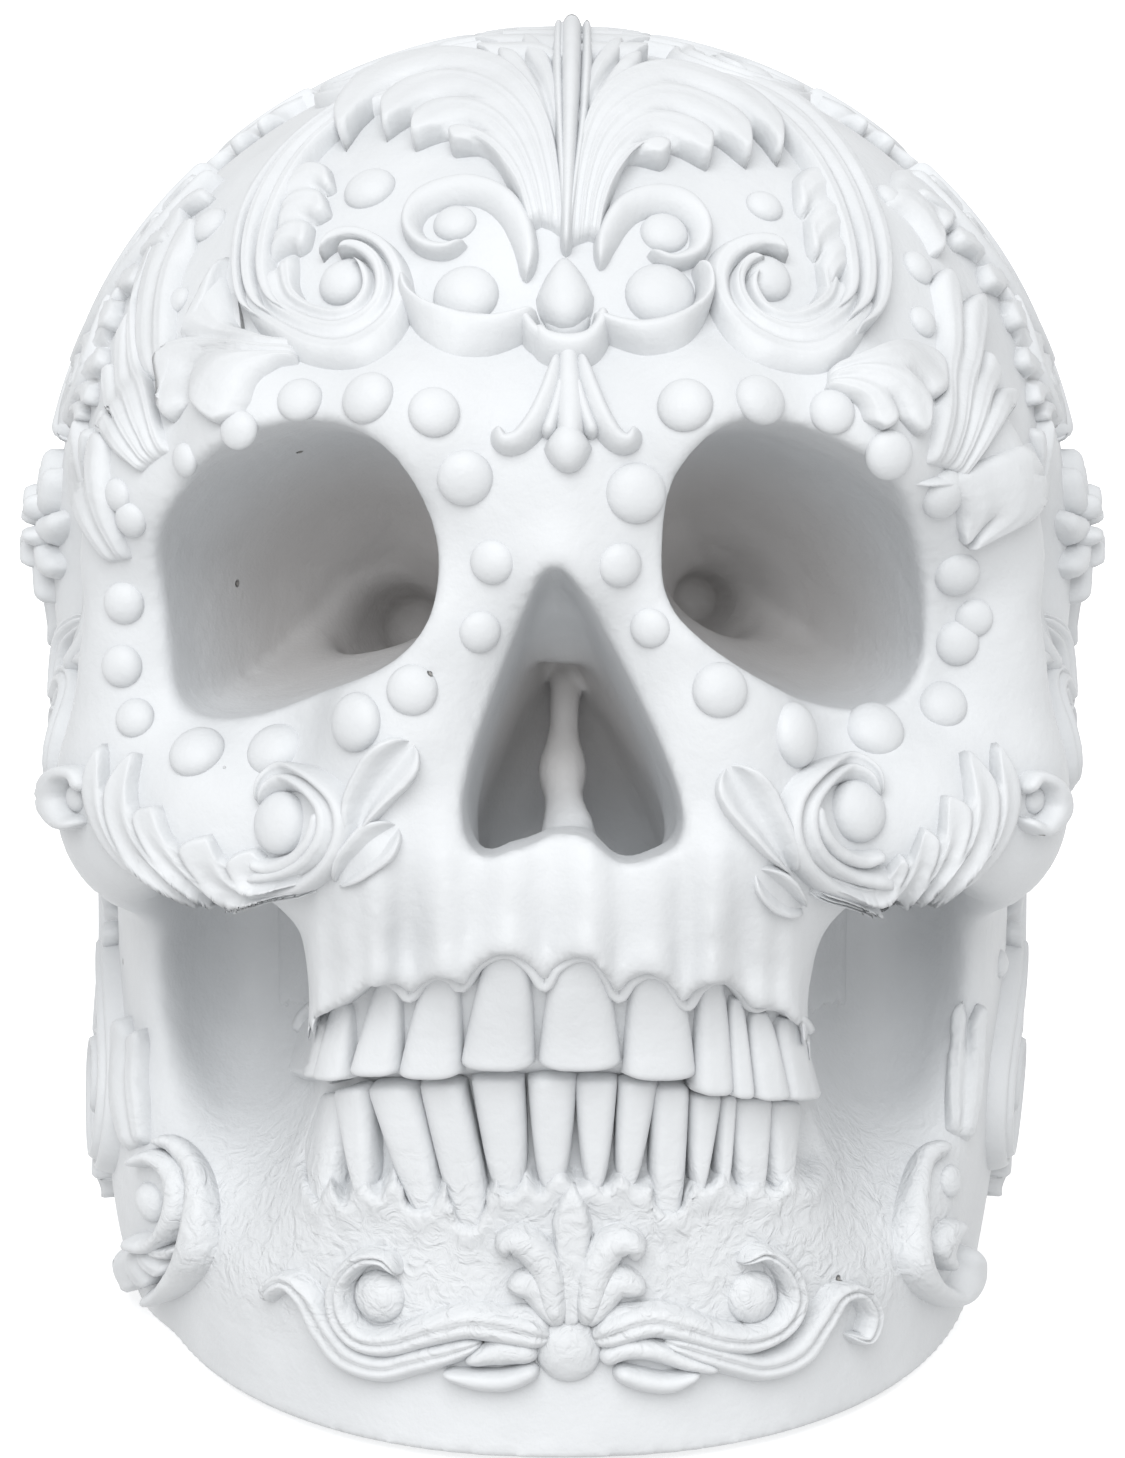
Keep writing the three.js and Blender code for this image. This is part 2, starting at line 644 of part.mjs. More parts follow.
// Places on the sides, crown and back are given on a chart: an azimuth and an
// elevation seen from the middle of the cranium point at it, where azimuth 0 is
// the face, and the two axes are shares of the distance from that middle.
const craniumMiddle = new THREE.Vector3(...toSize(craniumShares));

function chart(azimuth, elevation, side = 1) {
  const [a, e] = [azimuth, elevation].map((angle) => angle * Math.PI / 180);
  const out = new THREE.Vector3(Math.sin(a) * Math.cos(e), -Math.cos(a) * Math.cos(e), Math.sin(e));
  const right = new THREE.Vector3(Math.cos(a), Math.sin(a), 0);
  const above = out.clone().cross(right);
  return ([across, up]) => {
    const ray = out.clone().addScaledVector(right, across).addScaledVector(above, up).normalize();
    ray.setX(ray.x * side);
    return seatFrom(craniumMiddle.clone().addScaledVector(ray, halfDepth), ray.negate());
  };
}

// Volute on a chart: azimuth, elevation, radius share, start angle and turns.
const voluteKnots = 7;

function volute([azimuth, elevation, radiusShare, startAngle, turns], side) {
  const knots = Array.from({ length: voluteKnots }, (_, i) => {
    const share = i / (voluteKnots - 1);
    const angle = startAngle * Math.PI / 180 + turns * 2 * Math.PI * share;
    const reach = radiusShare * (1 - 0.6 * share);
    return [Math.cos(angle) * reach, Math.sin(angle) * reach];
  });
  return scroll(knots, scrollWidth, chart(azimuth, elevation, side), 1.3);
}

const sideVoluteShares = [
  [122, 6, 0.21, 200, 1.1], [98, 38, 0.17, -60, -1.1], [152, 30, 0.18, 0, 1.1], [118, 62, 0.14, 90, 1.1],
];
const crestShares = [[0, -0.75], [0, -0.4], [0, 0], [0, 0.4], [0, 0.75]];
const backLeafShares = [
  [[0, -0.15], [0, 0.05], [0, 0.26]],
  [[0.03, -0.15], [0.16, 0.02], [0.3, 0.14]],
  [[-0.03, -0.15], [-0.16, 0.02], [-0.3, 0.14]],
];
const sideVolutes = [-1, 1].flatMap((side) => sideVoluteShares.map((shares) => volute(shares, side)));
const crest = scroll(crestShares, scrollWidth, chart(0, 90));
const backLeaves = backLeafShares.map((points) => scroll(points, scrollWidth, chart(180, 4)));

// Leaf: a flat lobe laid on the surface, its tip turned by an angle from upright.
function leaf([across, up, angle, sizeShare]) {
  const { spot, normal } = seatFront([across, up]);
  const tip = leanUp.clone().multiplyScalar(Math.cos(angle)).add(new THREE.Vector3(Math.sin(angle), 0, 0));
  const along = tip.addScaledVector(normal, -tip.dot(normal)).normalize();
  const turn = new THREE.Matrix4().makeBasis(along.clone().cross(normal), along, normal);
  return solid(new THREE.SphereGeometry(1, 5, 4)
    .scale(leafWidth / 2 * sizeShare, leafLength / 2 * sizeShare, leafHeight / 2 * sizeShare)
    .applyMatrix4(turn).translate(spot.x, spot.y, spot.z));
}

const skullLeafShares = [
  [-0.14, 0.42, -0.4, 1.1], [0.17, 0.42, 0.4, 1.1], [0.02, 0.22, 0, 1.3],
  [-0.08, 0.22, 1, 0.8], [0.11, 0.22, -1, 0.8], [-0.62, 0.28, -0.5, 1.2], [0.63, 0.28, 0.5, 1.2],
  [-0.27, -0.07, 0.8, 1.1], [0.29, -0.07, -0.8, 1.1],
];
const jawLeafShares = [
  [0.01, -0.37, 0, 1.3], [-0.07, -0.41, -0.8, 1], [0.09, -0.41, 0.8, 1],
  [-0.15, -0.44, -1.1, 0.9], [0.17, -0.44, 1.1, 0.9],
];

// Ribbed shells over the ears, which are the widest points of the head.
const earShares = [-0.1, 0.598];
const earRayCount = 4;
const earRayLength = 17;
const earRayWidth = 6;
const earRayHeight = 9;

function earShell(side) {
  const [earY, earZ] = [earShares[0] * halfDepth, earShares[1] * headHeight];
  const start = new THREE.Vector3(side * (halfWidth + cell), earY, earZ);
  const { spot } = seatFrom(start, new THREE.Vector3(-side, 0, 0));
  return Array.from({ length: earRayCount }, (_, i) => {
    const spread = (i - (earRayCount - 1) / 2) * Math.PI / 4;
    return solid(new THREE.SphereGeometry(1, 6, 4)
      .scale(earRayHeight / 2, earRayLength / 2, earRayWidth / 2)
      .translate(0, earRayLength / 3, 0)
      .rotateX(spread)
      .translate(spot.x, spot.y - earRayLength / 3, spot.z));
  });
}

// Teeth, as blocks with rounded corners that stand in the surface of the arch

const upperToothShares = [
  [-0.455, 0.055], [-0.385, 0.06], [-0.31, 0.085], [-0.22, 0.11], [-0.11, 0.13], [0.03, 0.145],
  [0.165, 0.125], [0.26, 0.07], [0.315, 0.05], [0.365, 0.055], [0.42, 0.05],
];
const lowerToothShares = [
  [-0.44, 0.06], [-0.37, 0.065], [-0.3, 0.09], [-0.21, 0.08], [-0.115, 0.08], [-0.02, 0.075],
  [0.06, 0.07], [0.135, 0.065], [0.19, 0.06], [0.25, 0.055], [0.3, 0.045], [0.35, 0.07], [0.415, 0.055],
];
const upperToothHeight = 11.5;
const lowerToothHeight = 11;
const toothSquareness = 0.55;
const toothGap = 0.5;

function tooth(x, width, low, high) {
  const middle = new THREE.Vector3(x * halfWidth, -halfDepth - cell, (low + high) / 2);
  const { spot } = seatFrom(middle, new THREE.Vector3(0, 1, 0));
  const geometry = new THREE.SphereGeometry(1, 8, 5).rotateX(Math.PI / 2);
  const { array } = geometry.attributes.position;
  array.forEach((v, i) => { array[i] = Math.sign(v) * Math.abs(v) ** toothSquareness; });
  return solid(geometry
    .scale(width * halfWidth / 2, toothDepth / 2, (high - low) / 2)
    .translate(spot.x, spot.y + toothDepth / 2 - toothRelief, (low + high) / 2));
}

const upperTeeth = upperToothShares.map(([x, width]) => {
  const bite = biteAt(x * halfWidth) + fitGap + toothGap;
  return tooth(x, width, bite, bite + upperToothHeight);
});
const lowerTeeth = lowerToothShares.map(([x, width]) => {
  const bite = biteAt(x * halfWidth) - toothGap;
  return tooth(x, width, bite - lowerToothHeight, bite);
});

// Castings

const margin = 2 * cell;
const belowFloor = undersideZ - cell;
const closedField = (x, y, z) => Math.max(headField(x, y, z), belowFloor - z);
const floorBlock = solid(new THREE.BoxGeometry(headWidth * 2, headDepth * 2, headHeight)
  .translate(0, 0, undersideZ - headHeight / 2));
const shell = solid(skin(
  closedField,
  [-halfWidth - margin, -halfDepth - margin, belowFloor - margin],
  [halfWidth + margin, halfDepth + margin, headHeight + margin],
)).subtract(floorBlock).subtract(cavity).subtract(well).subtract(rebate);

const pegShares = [[-0.38, -0.55], [0.38, -0.55]];
const pegBase = biteAt(halfWidth * pegShares[0][0]) - pegLength;
const pegTop = biteAt(halfWidth * pegShares[0][0]) + pegLength;
const pegAt = ([x, y], diameter, top) => solid(
  disc(diameter, pegBase, top, x * halfWidth, y * halfDepth, 16));
const pegs = pegShares.map((spot) => pegAt(spot, pegDiameter, pegTop));
const pegSockets = pegShares.map((spot) => pegAt(spot, pegDiameter + 2 * fitGap, pegTop + fitGap));

const skullCasting = join([
  shell, ...upperTeeth,
  ...skullBeadShares.map((spot) => bead(spot, beadDiameter)),
  ...skullSmallBeadShares.map((spot) => bead(spot, smallBeadDiameter)),
  ...skullScrollShares.map((points) => scroll(points, scrollWidth)),
  ...skullLeafShares.map(leaf), ...earShell(-1), ...earShell(1),
  ...sideVolutes, crest, ...backLeaves,
]).subtract(jawBlock(fitGap)).subtract(join(pegSockets));
const jawCasting = join([
  shell, ...lowerTeeth,
  ...jawBeadShares.map((spot) => bead(spot, beadDiameter)),
  ...jawSmallBeadShares.map((spot) => bead(spot, smallBeadDiameter)),
  ...jawScrollShares.map((points) => scroll(points, scrollWidth)),
  ...jawLeafShares.map(leaf),
]).intersect(jawBlock(0)).add(join(pegs));

// Closing plate, let into the rebate and drained in the middle

const plateBody = solid(prism(wellOutline(plateLedge - fitGap), undersideZ, undersideZ + plateThickness));
const drain = solid(disc(drainDiameter, -overrun, overrun, 0, wellY, 24));
const basePlate = plateBody.subtract(drain);

// Felt pads: the front pair under the jaw, the back pair under the plate

const padShares = {
  pad_front_left: [-0.43, -0.62],
  pad_front_right: [0.43, -0.62],
  pad_back_left: [-0.3, 0.42],
  pad_back_right: [0.3, 0.42],
};

// Materials

const castResin = new THREE.MeshStandardMaterial({ color: 0xeceef0, roughness: 0.55, metalness: 0 });
const plateResin = new THREE.MeshStandardMaterial({ color: 0xe2e4e6, roughness: 0.65, metalness: 0 });
const whiteFelt = new THREE.MeshStandardMaterial({ color: 0xd9d9d6, roughness: 0.95, metalness: 0 });

const figurine = new THREE.Group();

function place(name, geometry, material) {
  const mesh = new THREE.Mesh(geometry, material);
  mesh.name = name;
  figurine.add(mesh);
}

place('skull_casting', geometryOf(skullCasting), castResin);
place('jaw_casting', geometryOf(jawCasting), castResin);
place('base_plate', geometryOf(basePlate), plateResin);
Object.entries(padShares).forEach(([name, [x, y]]) => {
  place(name, disc(padDiameter, 0, padThickness, x * halfWidth, y * halfDepth, 24), whiteFelt);
});

export default figurine;
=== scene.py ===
# %% [markdown]
# # A carved skull, cast in white resin
#
# The real object is a desk ornament: a hollow resin casting of a skull whose whole surface carries
# raised baroque scrolls, leaves and rows of beads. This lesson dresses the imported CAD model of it.
# The CAD solids hold the true sizes, the joint between the two castings, the closing plate and the
# pads. Blender adds the fine surface: the bone form as one smooth field, and the carving on it.

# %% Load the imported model
import math

import bpy
import numpy as np
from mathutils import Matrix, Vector


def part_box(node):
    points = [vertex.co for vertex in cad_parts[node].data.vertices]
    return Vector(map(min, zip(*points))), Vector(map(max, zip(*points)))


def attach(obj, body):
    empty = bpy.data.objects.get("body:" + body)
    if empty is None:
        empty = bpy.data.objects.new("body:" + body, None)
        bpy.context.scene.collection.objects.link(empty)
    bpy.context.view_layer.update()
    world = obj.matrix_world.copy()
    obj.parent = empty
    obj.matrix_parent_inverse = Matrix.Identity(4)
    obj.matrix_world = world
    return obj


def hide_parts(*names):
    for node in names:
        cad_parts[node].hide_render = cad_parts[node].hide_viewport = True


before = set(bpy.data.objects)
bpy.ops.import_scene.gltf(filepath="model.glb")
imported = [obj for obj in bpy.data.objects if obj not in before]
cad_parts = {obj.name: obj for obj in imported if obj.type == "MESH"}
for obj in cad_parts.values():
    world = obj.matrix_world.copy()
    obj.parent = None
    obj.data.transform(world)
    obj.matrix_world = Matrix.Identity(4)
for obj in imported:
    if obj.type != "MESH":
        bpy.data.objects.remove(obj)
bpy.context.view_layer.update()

MM = 0.001
PADS = ("pad_front_left", "pad_front_right", "pad_back_left", "pad_back_right")

# %% [markdown]
# ## The camera, and how a place in the photograph becomes a place on the skull
#
# Ornament is drawn where the photograph shows it, so the lesson needs the camera first. A long lens
# 600 mm away, tilted down by 14 degrees, gives the same outline as the photograph. The same numbers
# give the ray of sight through any pixel, and a later cell lets such rays land on the bone.

# %% Camera
PHOTO_WIDTH, PHOTO_HEIGHT = 1125, 1458
CAMERA_TILT = math.radians(14)
CAMERA_DISTANCE = 600.0
CAMERA_TARGET = np.array([0.0, -8.0, 61.4])
SENSOR_LONG_SIDE = 36.0
LENS = 131.6
NEAREST_SEEN = 0.05
PIXELS_PER_SLOPE = LENS / SENSOR_LONG_SIDE * PHOTO_HEIGHT
SIGHT = np.array([0.0, math.cos(CAMERA_TILT), -math.sin(CAMERA_TILT)])
SIGHT_UP = np.array([0.0, math.sin(CAMERA_TILT), math.cos(CAMERA_TILT)])
EYE = CAMERA_TARGET - CAMERA_DISTANCE * SIGHT
PIXELS_PER_MM = PIXELS_PER_SLOPE / CAMERA_DISTANCE

camera = bpy.data.objects.new("camera", bpy.data.cameras.new("camera"))
bpy.context.scene.collection.objects.link(camera)
camera.data.lens = LENS
camera.data.sensor_width = SENSOR_LONG_SIDE
camera.data.clip_start = NEAREST_SEEN
camera.location = EYE * MM
camera.rotation_euler = (math.pi / 2 - CAMERA_TILT, 0, 0)
bpy.context.scene.camera = camera


def photo_rays(places):
    """Start and direction of the rays of sight through pixels of the photograph."""
    across = (places[..., 0] - PHOTO_WIDTH / 2) / PIXELS_PER_SLOPE
    up = (PHOTO_HEIGHT / 2 - places[..., 1]) / PIXELS_PER_SLOPE
    rays = SIGHT + up[..., None] * SIGHT_UP + across[..., None] * np.array([1.0, 0, 0])
    rays /= np.linalg.norm(rays, axis=-1, keepdims=True)
    return np.broadcast_to(EYE, rays.shape), rays


def on_plane(pixels, y):
    """Where the rays through pixels meet the upright plane at y, as x and z."""
    start, ray = photo_rays(np.array(pixels, float))
    hit = start + ray * ((y - start[..., 1]) / ray[..., 1])[..., None]
    return hit[..., [0, 2]]


print("pixels per mm at the skull:", round(PIXELS_PER_MM, 2))

# %% [markdown]
# ## The bone as a distance field
#
# A skull has no flat or turned part, so it is described as a field: a function that gives the
# distance from any point to the surface, negative inside. Ellipsoids and rounded limbs are easy to
# write that way, and a blending minimum melts them together like wax. Numpy works on all points at
# once. Every table gives shares of the head's half width, half depth and height, as the CAD does.

# %% Field tools
HALF_WIDTH, HALF_DEPTH, HEIGHT = 60.0, 80.0, 136.0
SCALE = np.array([HALF_WIDTH, HALF_DEPTH, HEIGHT], np.float32)
LIMB_BLEND = 4.0


def mirrored(p):
    """Points with the viewer's left half laid on the right half."""
    return np.abs(p) * np.float32([1, 0, 0]) + p * np.float32([0, 1, 1])


def blend_min(a, b, width):
    mix = np.clip(0.5 + (b - a) / (2 * width), 0, 1)
    return b + (a - b) * mix - width * mix * (1 - mix)


def blend_max(a, b, width):
    return -blend_min(-a, -b, width)


def blob(p, shares):
    """Ellipsoid from shares: its centre and then its radii."""
    centre, radii = np.float32(shares[:3]) * SCALE, np.float32(shares[3:]) * SCALE
    q = (p - centre) / radii
    near = np.sqrt((q * q).sum(1))
    slope = np.sqrt(((q / radii) ** 2).sum(1))
    return near * (near - 1) / np.maximum(slope, 1e-6)


def limb(p, knots, width=LIMB_BLEND):
    """Rounded limb through knots of shares: x, y, z and a radius share of the half width."""
    distance = None
    for a, b in zip(knots, knots[1:]):
        start, along = np.float32(a[:3]) * SCALE, (np.float32(b[:3]) - np.float32(a[:3])) * SCALE
        t = np.clip((p - start) @ along / (along @ along), 0, 1)
        gap = np.sqrt(((p - start - t[:, None] * along) ** 2).sum(1))
        part = gap - (a[3] + t * (b[3] - a[3])) * HALF_WIDTH
        distance = part if distance is None else blend_min(distance, part, width)
    return distance


def upright_wall(p, middle_y, radius_x, radius_y, power):
    q = np.abs(p[:, 0] / radius_x) ** power + np.abs((p[:, 1] - middle_y) / radius_y) ** power
    return (q ** (1 / power) - 1) * min(radius_x, radius_y)


def smooth_points(points, per_span, closed=False):
    """Points along the Catmull-Rom curve through a few points."""
    points = np.array(points, float)
    count = len(points)
    if closed:
        knots = np.vstack([points[-1:], points, points[:2]])
    else:
        knots = np.vstack([2 * points[0] - points[1], points, 2 * points[-1] - points[-2]])
    out = []
    for i in range(count if closed else count - 1):
        a, b, c, d = knots[i:i + 4]
        for t in np.arange(per_span) / per_span:
            out.append(0.5 * (2 * b + (c - a) * t + (2 * a - 5 * b + 4 * c - d) * t * t
                              + (3 * b - a - 3 * c + d) * t ** 3))
    return np.array(out if closed else out + [points[-1]])


def outline_distance(x, z, outline):
    """Distance to a closed outline in the x-z plane, negative inside."""
    nearest = np.full(x.shape, np.inf, np.float32)
    inside = np.zeros(x.shape, bool)
    for (ax, az), (bx, bz) in zip(outline, np.roll(outline, -1, 0)):
        ex, ez, wx, wz = bx - ax, bz - az, x - ax, z - az
        t = np.clip((wx * ex + wz * ez) / (ex * ex + ez * ez), 0, 1)
        nearest = np.minimum(nearest, (wx - ex * t) ** 2 + (wz - ez * t) ** 2)
        if ez:
            inside ^= ((az > z) != (bz > z)) & (wx < ex * wz / ez)
    return np.where(inside, -1, 1) * np.sqrt(nearest)


print("head without carving:", 2 * HALF_WIDTH, "x", 2 * HALF_DEPTH, "x", HEIGHT, "mm")

# %% [markdown]
# ## Cranium, face and jaw
#
# The face is built the way an anatomy book names it: brow, socket rims, cheekbones, their arches to
# the ear, the bridge and sides of the nose, and the upper jaw. The lower jaw is an upright wall that
# flares a little at the foot, because on the real casting it is also the base.

# %% Bone form
CRANIUM = (0, 0.075, 0.58, 0.965, 0.913, 0.423)
FOREHEAD = (0, -0.25, 0.728, 0.8, 0.54, 0.268)
UPPER_JAW = (0, -0.625, 0.441, 0.45, 0.35, 0.162)
FACE_CORE = (0, -0.45, 0.603, 0.7, 0.35, 0.235)
CHEEKBONE = (0.667, -0.525, 0.441, 0.217, 0.175, 0.081)
TEMPLE_HOLLOW = (0.967, -0.375, 0.618, 0.15, 0.213, 0.096)
FACE_LIMBS = (
    ((0, -0.763, 0.743, 0.15), (0.233, -0.763, 0.768, 0.142),
     (0.483, -0.688, 0.761, 0.142), (0.65, -0.563, 0.713, 0.142)),
    ((0.65, -0.563, 0.713, 0.142), (0.717, -0.525, 0.647, 0.125),
     (0.717, -0.538, 0.574, 0.125), (0.7, -0.563, 0.507, 0.15)),
    ((0.7, -0.55, 0.485, 0.167), (0.55, -0.663, 0.456, 0.192),
     (0.367, -0.738, 0.463, 0.167), (0.233, -0.788, 0.544, 0.117)),
    ((0.708, -0.5, 0.456, 0.15), (0.792, -0.325, 0.456, 0.108),
     (0.817, -0.1, 0.47, 0.092), (0.8, 0.1, 0.5, 0.092)),
    ((0, -0.763, 0.75, 0.142), (0, -0.831, 0.691, 0.117)),
    ((0.117, -0.788, 0.706, 0.108), (0.2, -0.8, 0.632, 0.117),
     (0.25, -0.813, 0.559, 0.133), (0.267, -0.825, 0.478, 0.167)),
)
JAW_MIDDLE, JAW_WIDTH, JAW_DEPTH, JAW_POWER = -0.1, 0.833, 0.825, 2.2
JAW_TOP, JAW_FOOT, JAW_TAPER, JAW_CHIN, JAW_FLARE = 0.412, 0.2, 0.07, 0.045, 1.5
# The casting's jaw is a little fuller at the corner on the viewer's left.
JAW_CORNER = (-0.71, -0.2, 0.125, 0.125, 0.34, 0.145)
NECK_MIDDLE, NECK_WIDTH, NECK_DEPTH, NECK_POWER, NECK_TOP = 0.125, 0.633, 0.65, 2.3, 0.53
CHEEK_HOLLOW = (0.575, -0.625, 0.316, 0.158, 0.25, 0.125)
LOWER_HOLLOW = (0.617, -0.825, 0.272, 0.183, 0.275, 0.147)
SOFT_BLEND, BODY_BLEND, FACE_BLEND = 12.0, 6.0, 5.0


def cranium_and_face(p):
    m = mirrored(p)
    distance = blend_min(blob(p, CRANIUM), blob(p, FOREHEAD), SOFT_BLEND)
    face = blob(m, CHEEKBONE)
    for knots in FACE_LIMBS:
        face = blend_min(face, limb(m, knots), FACE_BLEND)
    for shares in (UPPER_JAW, FACE_CORE):
        face = blend_min(face, blob(p, shares), FACE_BLEND)
    distance = blend_min(distance, face, BODY_BLEND)
    return blend_max(distance, -blob(m, TEMPLE_HOLLOW), BODY_BLEND)


def lower_jaw(p):
    foot = np.clip((HEIGHT * JAW_FOOT - p[:, 2]) / (HEIGHT * JAW_FOOT), 0, 1) ** JAW_FLARE
    q = p.copy()
    middle = HALF_DEPTH * JAW_MIDDLE
    q[:, 0] /= 1 - JAW_TAPER * foot
    front = q[:, 1] < middle
    q[front, 1] = middle + (q[front, 1] - middle) / (1 + JAW_CHIN * foot[front])
    wall = upright_wall(q, middle, HALF_WIDTH * JAW_WIDTH, HALF_DEPTH * JAW_DEPTH, JAW_POWER)
    wall = blend_min(wall, blob(p, JAW_CORNER), BODY_BLEND)
    return blend_max(wall, p[:, 2] - HEIGHT * JAW_TOP, BODY_BLEND)


def bone_form(p):
    neck = upright_wall(p, HALF_DEPTH * NECK_MIDDLE, HALF_WIDTH * NECK_WIDTH,
                        HALF_DEPTH * NECK_DEPTH, NECK_POWER)
    neck = blend_max(neck, p[:, 2] - HEIGHT * NECK_TOP, BODY_BLEND)
    distance = blend_min(cranium_and_face(p), neck, BODY_BLEND)
    distance = blend_min(distance, lower_jaw(p), FACE_BLEND)
    m = mirrored(p)
    hollow = blend_min(blob(m, CHEEK_HOLLOW), blob(m, LOWER_HOLLOW), BODY_BLEND)
    return blend_max(distance, -hollow, BODY_BLEND)


print("the face has", len(FACE_LIMBS), "limbs on each side of its middle")

# %% [markdown]
# ## Eye sockets and nose
#
# Each opening is a closed outline, drawn where the photograph shows its rim, that narrows with depth
# to a rounded floor. The sockets run inwards towards the middle of the head, as real ones do, and
# end in the small dark pit of the optic nerve. A thin wall of bone stands in the nose.

# %% Openings of the face
LEFT_SOCKET_PIXELS = (
    (310, 443), (365, 448), (412, 478), (440, 530), (447, 585), (436, 625), (400, 655), (335, 677),
    (262, 702), (205, 707), (176, 690), (164, 640), (158, 590), (160, 545), (186, 505), (236, 466))
RIGHT_SOCKET_PIXELS = (
    (705, 449), (760, 444), (815, 462), (860, 490), (893, 525), (918, 575), (926, 630), (915, 670),
    (885, 694), (835, 696), (775, 680), (715, 650), (672, 618), (655, 590), (654, 545), (664, 490))
NOSE_PIXELS = (
    (553, 574), (580, 600), (612, 655), (645, 725), (668, 785), (674, 825), (662, 850), (634, 858),
    (604, 850), (578, 832), (548, 826), (520, 846), (494, 856), (474, 842), (470, 805), (480, 750),
    (503, 680), (532, 608))
SOCKET_PLANE, NOSE_PLANE = -0.7 * HALF_DEPTH, -0.85 * HALF_DEPTH
SOCKET = dict(plane=SOCKET_PLANE, depth=30.0, taper=12.0, rim=1.1, sag=0.22, wider=1.2)
NOSE = dict(plane=NOSE_PLANE, depth=28.0, taper=3.0, rim=0.8, sag=0.5, wider=0.4)
OPENINGS = (
    dict(SOCKET, pixels=LEFT_SOCKET_PIXELS, drift=0.2),
    dict(SOCKET, pixels=RIGHT_SOCKET_PIXELS, drift=-0.2),
    dict(NOSE, pixels=NOSE_PIXELS, drift=0.0),
)
OUTLINE_SPAN = 3
for opening in OPENINGS:
    points = smooth_points(opening["pixels"], OUTLINE_SPAN, closed=True)
    opening["outline"] = on_plane(points, opening["plane"])
widths = [round(float(np.ptp(opening["outline"][:, 0])), 1) for opening in OPENINGS]
print("openings are", widths, "mm wide")

# %% [markdown]
# Each opening is taken off the bone as a bowl. Behind the rim it narrows, leans to the middle of the
# head and sags a little, and in front of the rim it follows the line of sight, so that the rim shows
# where it was drawn. The septum, the roof of the nose and its spine are put back as thin limbs.

# %% Open the face
OPTIC_PITS = (((-0.3, -0.38, 0.575, 0.1), (-0.27, -0.27, 0.56, 0.06)),
              ((0.27, -0.37, 0.595, 0.07), (0.24, -0.28, 0.585, 0.045)))
SEPTUM = ((0.01, -0.5, 0.62, 0.026), (0.0, -0.66, 0.5, 0.026), (0.0, -0.78, 0.445, 0.035))
NASAL_ROOF = ((0.0, -0.7, 0.65, 0.07), (0.0, -0.66, 0.61, 0.055))
NASAL_SPINE = ((0.0, -0.8, 0.445, 0.045), (-0.01, -0.87, 0.468, 0.028))
PIT_BLEND, ROOF_BLEND, SEPTUM_BLEND, SPINE_BLEND = 5.0, 3.0, 1.2, 1.5
RIM_FLARE = 0.06
BOWL_BLEND = 8.0
OPENING_MARGIN = 9.0
FACE_BACK = -15.0


def bowl(p, opening):
    sunk = p[:, 1] - opening["plane"]
    narrowing = np.where(sunk > 0, opening["taper"] * (sunk / opening["depth"]) ** 2, RIM_FLARE * sunk)
    fall = np.where(sunk > 0, opening["sag"], math.tan(CAMERA_TILT)) * sunk
    side = outline_distance(p[:, 0] - opening["drift"] * sunk, p[:, 2] + fall, opening["outline"])
    return blend_max(side + narrowing - opening["wider"], sunk - opening["depth"], BOWL_BLEND)


def open_face(p, distance):
    """The bone with its sockets, nose, optic pits and septum."""
    front = p[:, 1] < FACE_BACK
    q, d = p[front], distance[front]
    for opening in OPENINGS:
        low, high = opening["outline"].min(0) - OPENING_MARGIN, opening["outline"].max(0) + OPENING_MARGIN
        near = ((q[:, [0, 2]] > low) & (q[:, [0, 2]] < high)).all(1)
        d[near] = blend_max(d[near], -bowl(q[near], opening), opening["rim"])
    for pit in OPTIC_PITS:
        d = blend_max(d, -limb(q, pit), PIT_BLEND)
    d = blend_min(d, limb(q, NASAL_ROOF), ROOF_BLEND)
    d = blend_min(d, limb(q, SEPTUM), SEPTUM_BLEND)
    d = blend_min(d, limb(q, NASAL_SPINE), SPINE_BLEND)
    distance = distance.copy()
    distance[front] = d
    return distance


def head_form(p):
    return open_face(p, bone_form(p))


pit_mouth = np.float32([OPTIC_PITS[0][0][:3]]) * SCALE
print("free space round the mouth of a pit:", round(float(head_form(pit_mouth)[0]), 1), "mm")

# %% [markdown]
# ## From field to mesh
#
# Surface nets turn the field into quads: each grid cell that the surface crosses gets one vertex, and
# each grid edge that it crosses gets one face. Only the blocks near the surface are measured, which
# keeps a fine grid quick. The vertices are then moved onto the field exactly, so edges stay crisp.

# %% Grid values near the surface
GRID = 0.75
BLOCK = 4
SURE_MARGIN = 1.5
FAR_VALUE = 9
CHUNK = 300000
FIELD_LOW, FIELD_HIGH = np.array([-69.0, -87.0, -3.0]), np.array([69.0, 87.0, 144.0])


def near_points(field, step):
    """Grid values of a field, exact near its surface and only signed elsewhere."""
    blocks = np.ceil((FIELD_HIGH - FIELD_LOW) / (step * BLOCK)).astype(int)
    middles = [FIELD_LOW[i] + (np.arange(blocks[i]) + 0.5) * step * BLOCK for i in range(3)]
    centres = np.stack(np.meshgrid(*middles, indexing="ij"), -1).reshape(-1, 3).astype(np.float32)
    coarse = field(centres).reshape(blocks)
    near = np.abs(coarse) < step * BLOCK + SURE_MARGIN
    values = np.where(coarse < 0, -FAR_VALUE, FAR_VALUE).astype(np.float32)
    for axis in range(3):
        values = np.repeat(values, BLOCK, axis)
    values = np.pad(values, ((0, 1),) * 3, mode="edge")
    wanted = np.zeros(values.shape, bool)
    corners = np.argwhere(near) * BLOCK
    for shift in np.ndindex((BLOCK + 1,) * 3):
        q = corners + shift
        wanted[q[:, 0], q[:, 1], q[:, 2]] = True
    index = np.argwhere(wanted)
    found = [field((FIELD_LOW + index[i:i + CHUNK] * step).astype(np.float32))
             for i in range(0, len(index), CHUNK)]
    values[wanted] = np.concatenate(found)
    return values


print("grid step:", GRID, "mm, measured in blocks of", BLOCK * GRID, "mm")

# %% [markdown]
# A cell's vertex is the mean of the places where the surface crosses the cell's edges. The face over
# a grid edge joins the four cells round that edge, and turns so that it looks out of the bone.

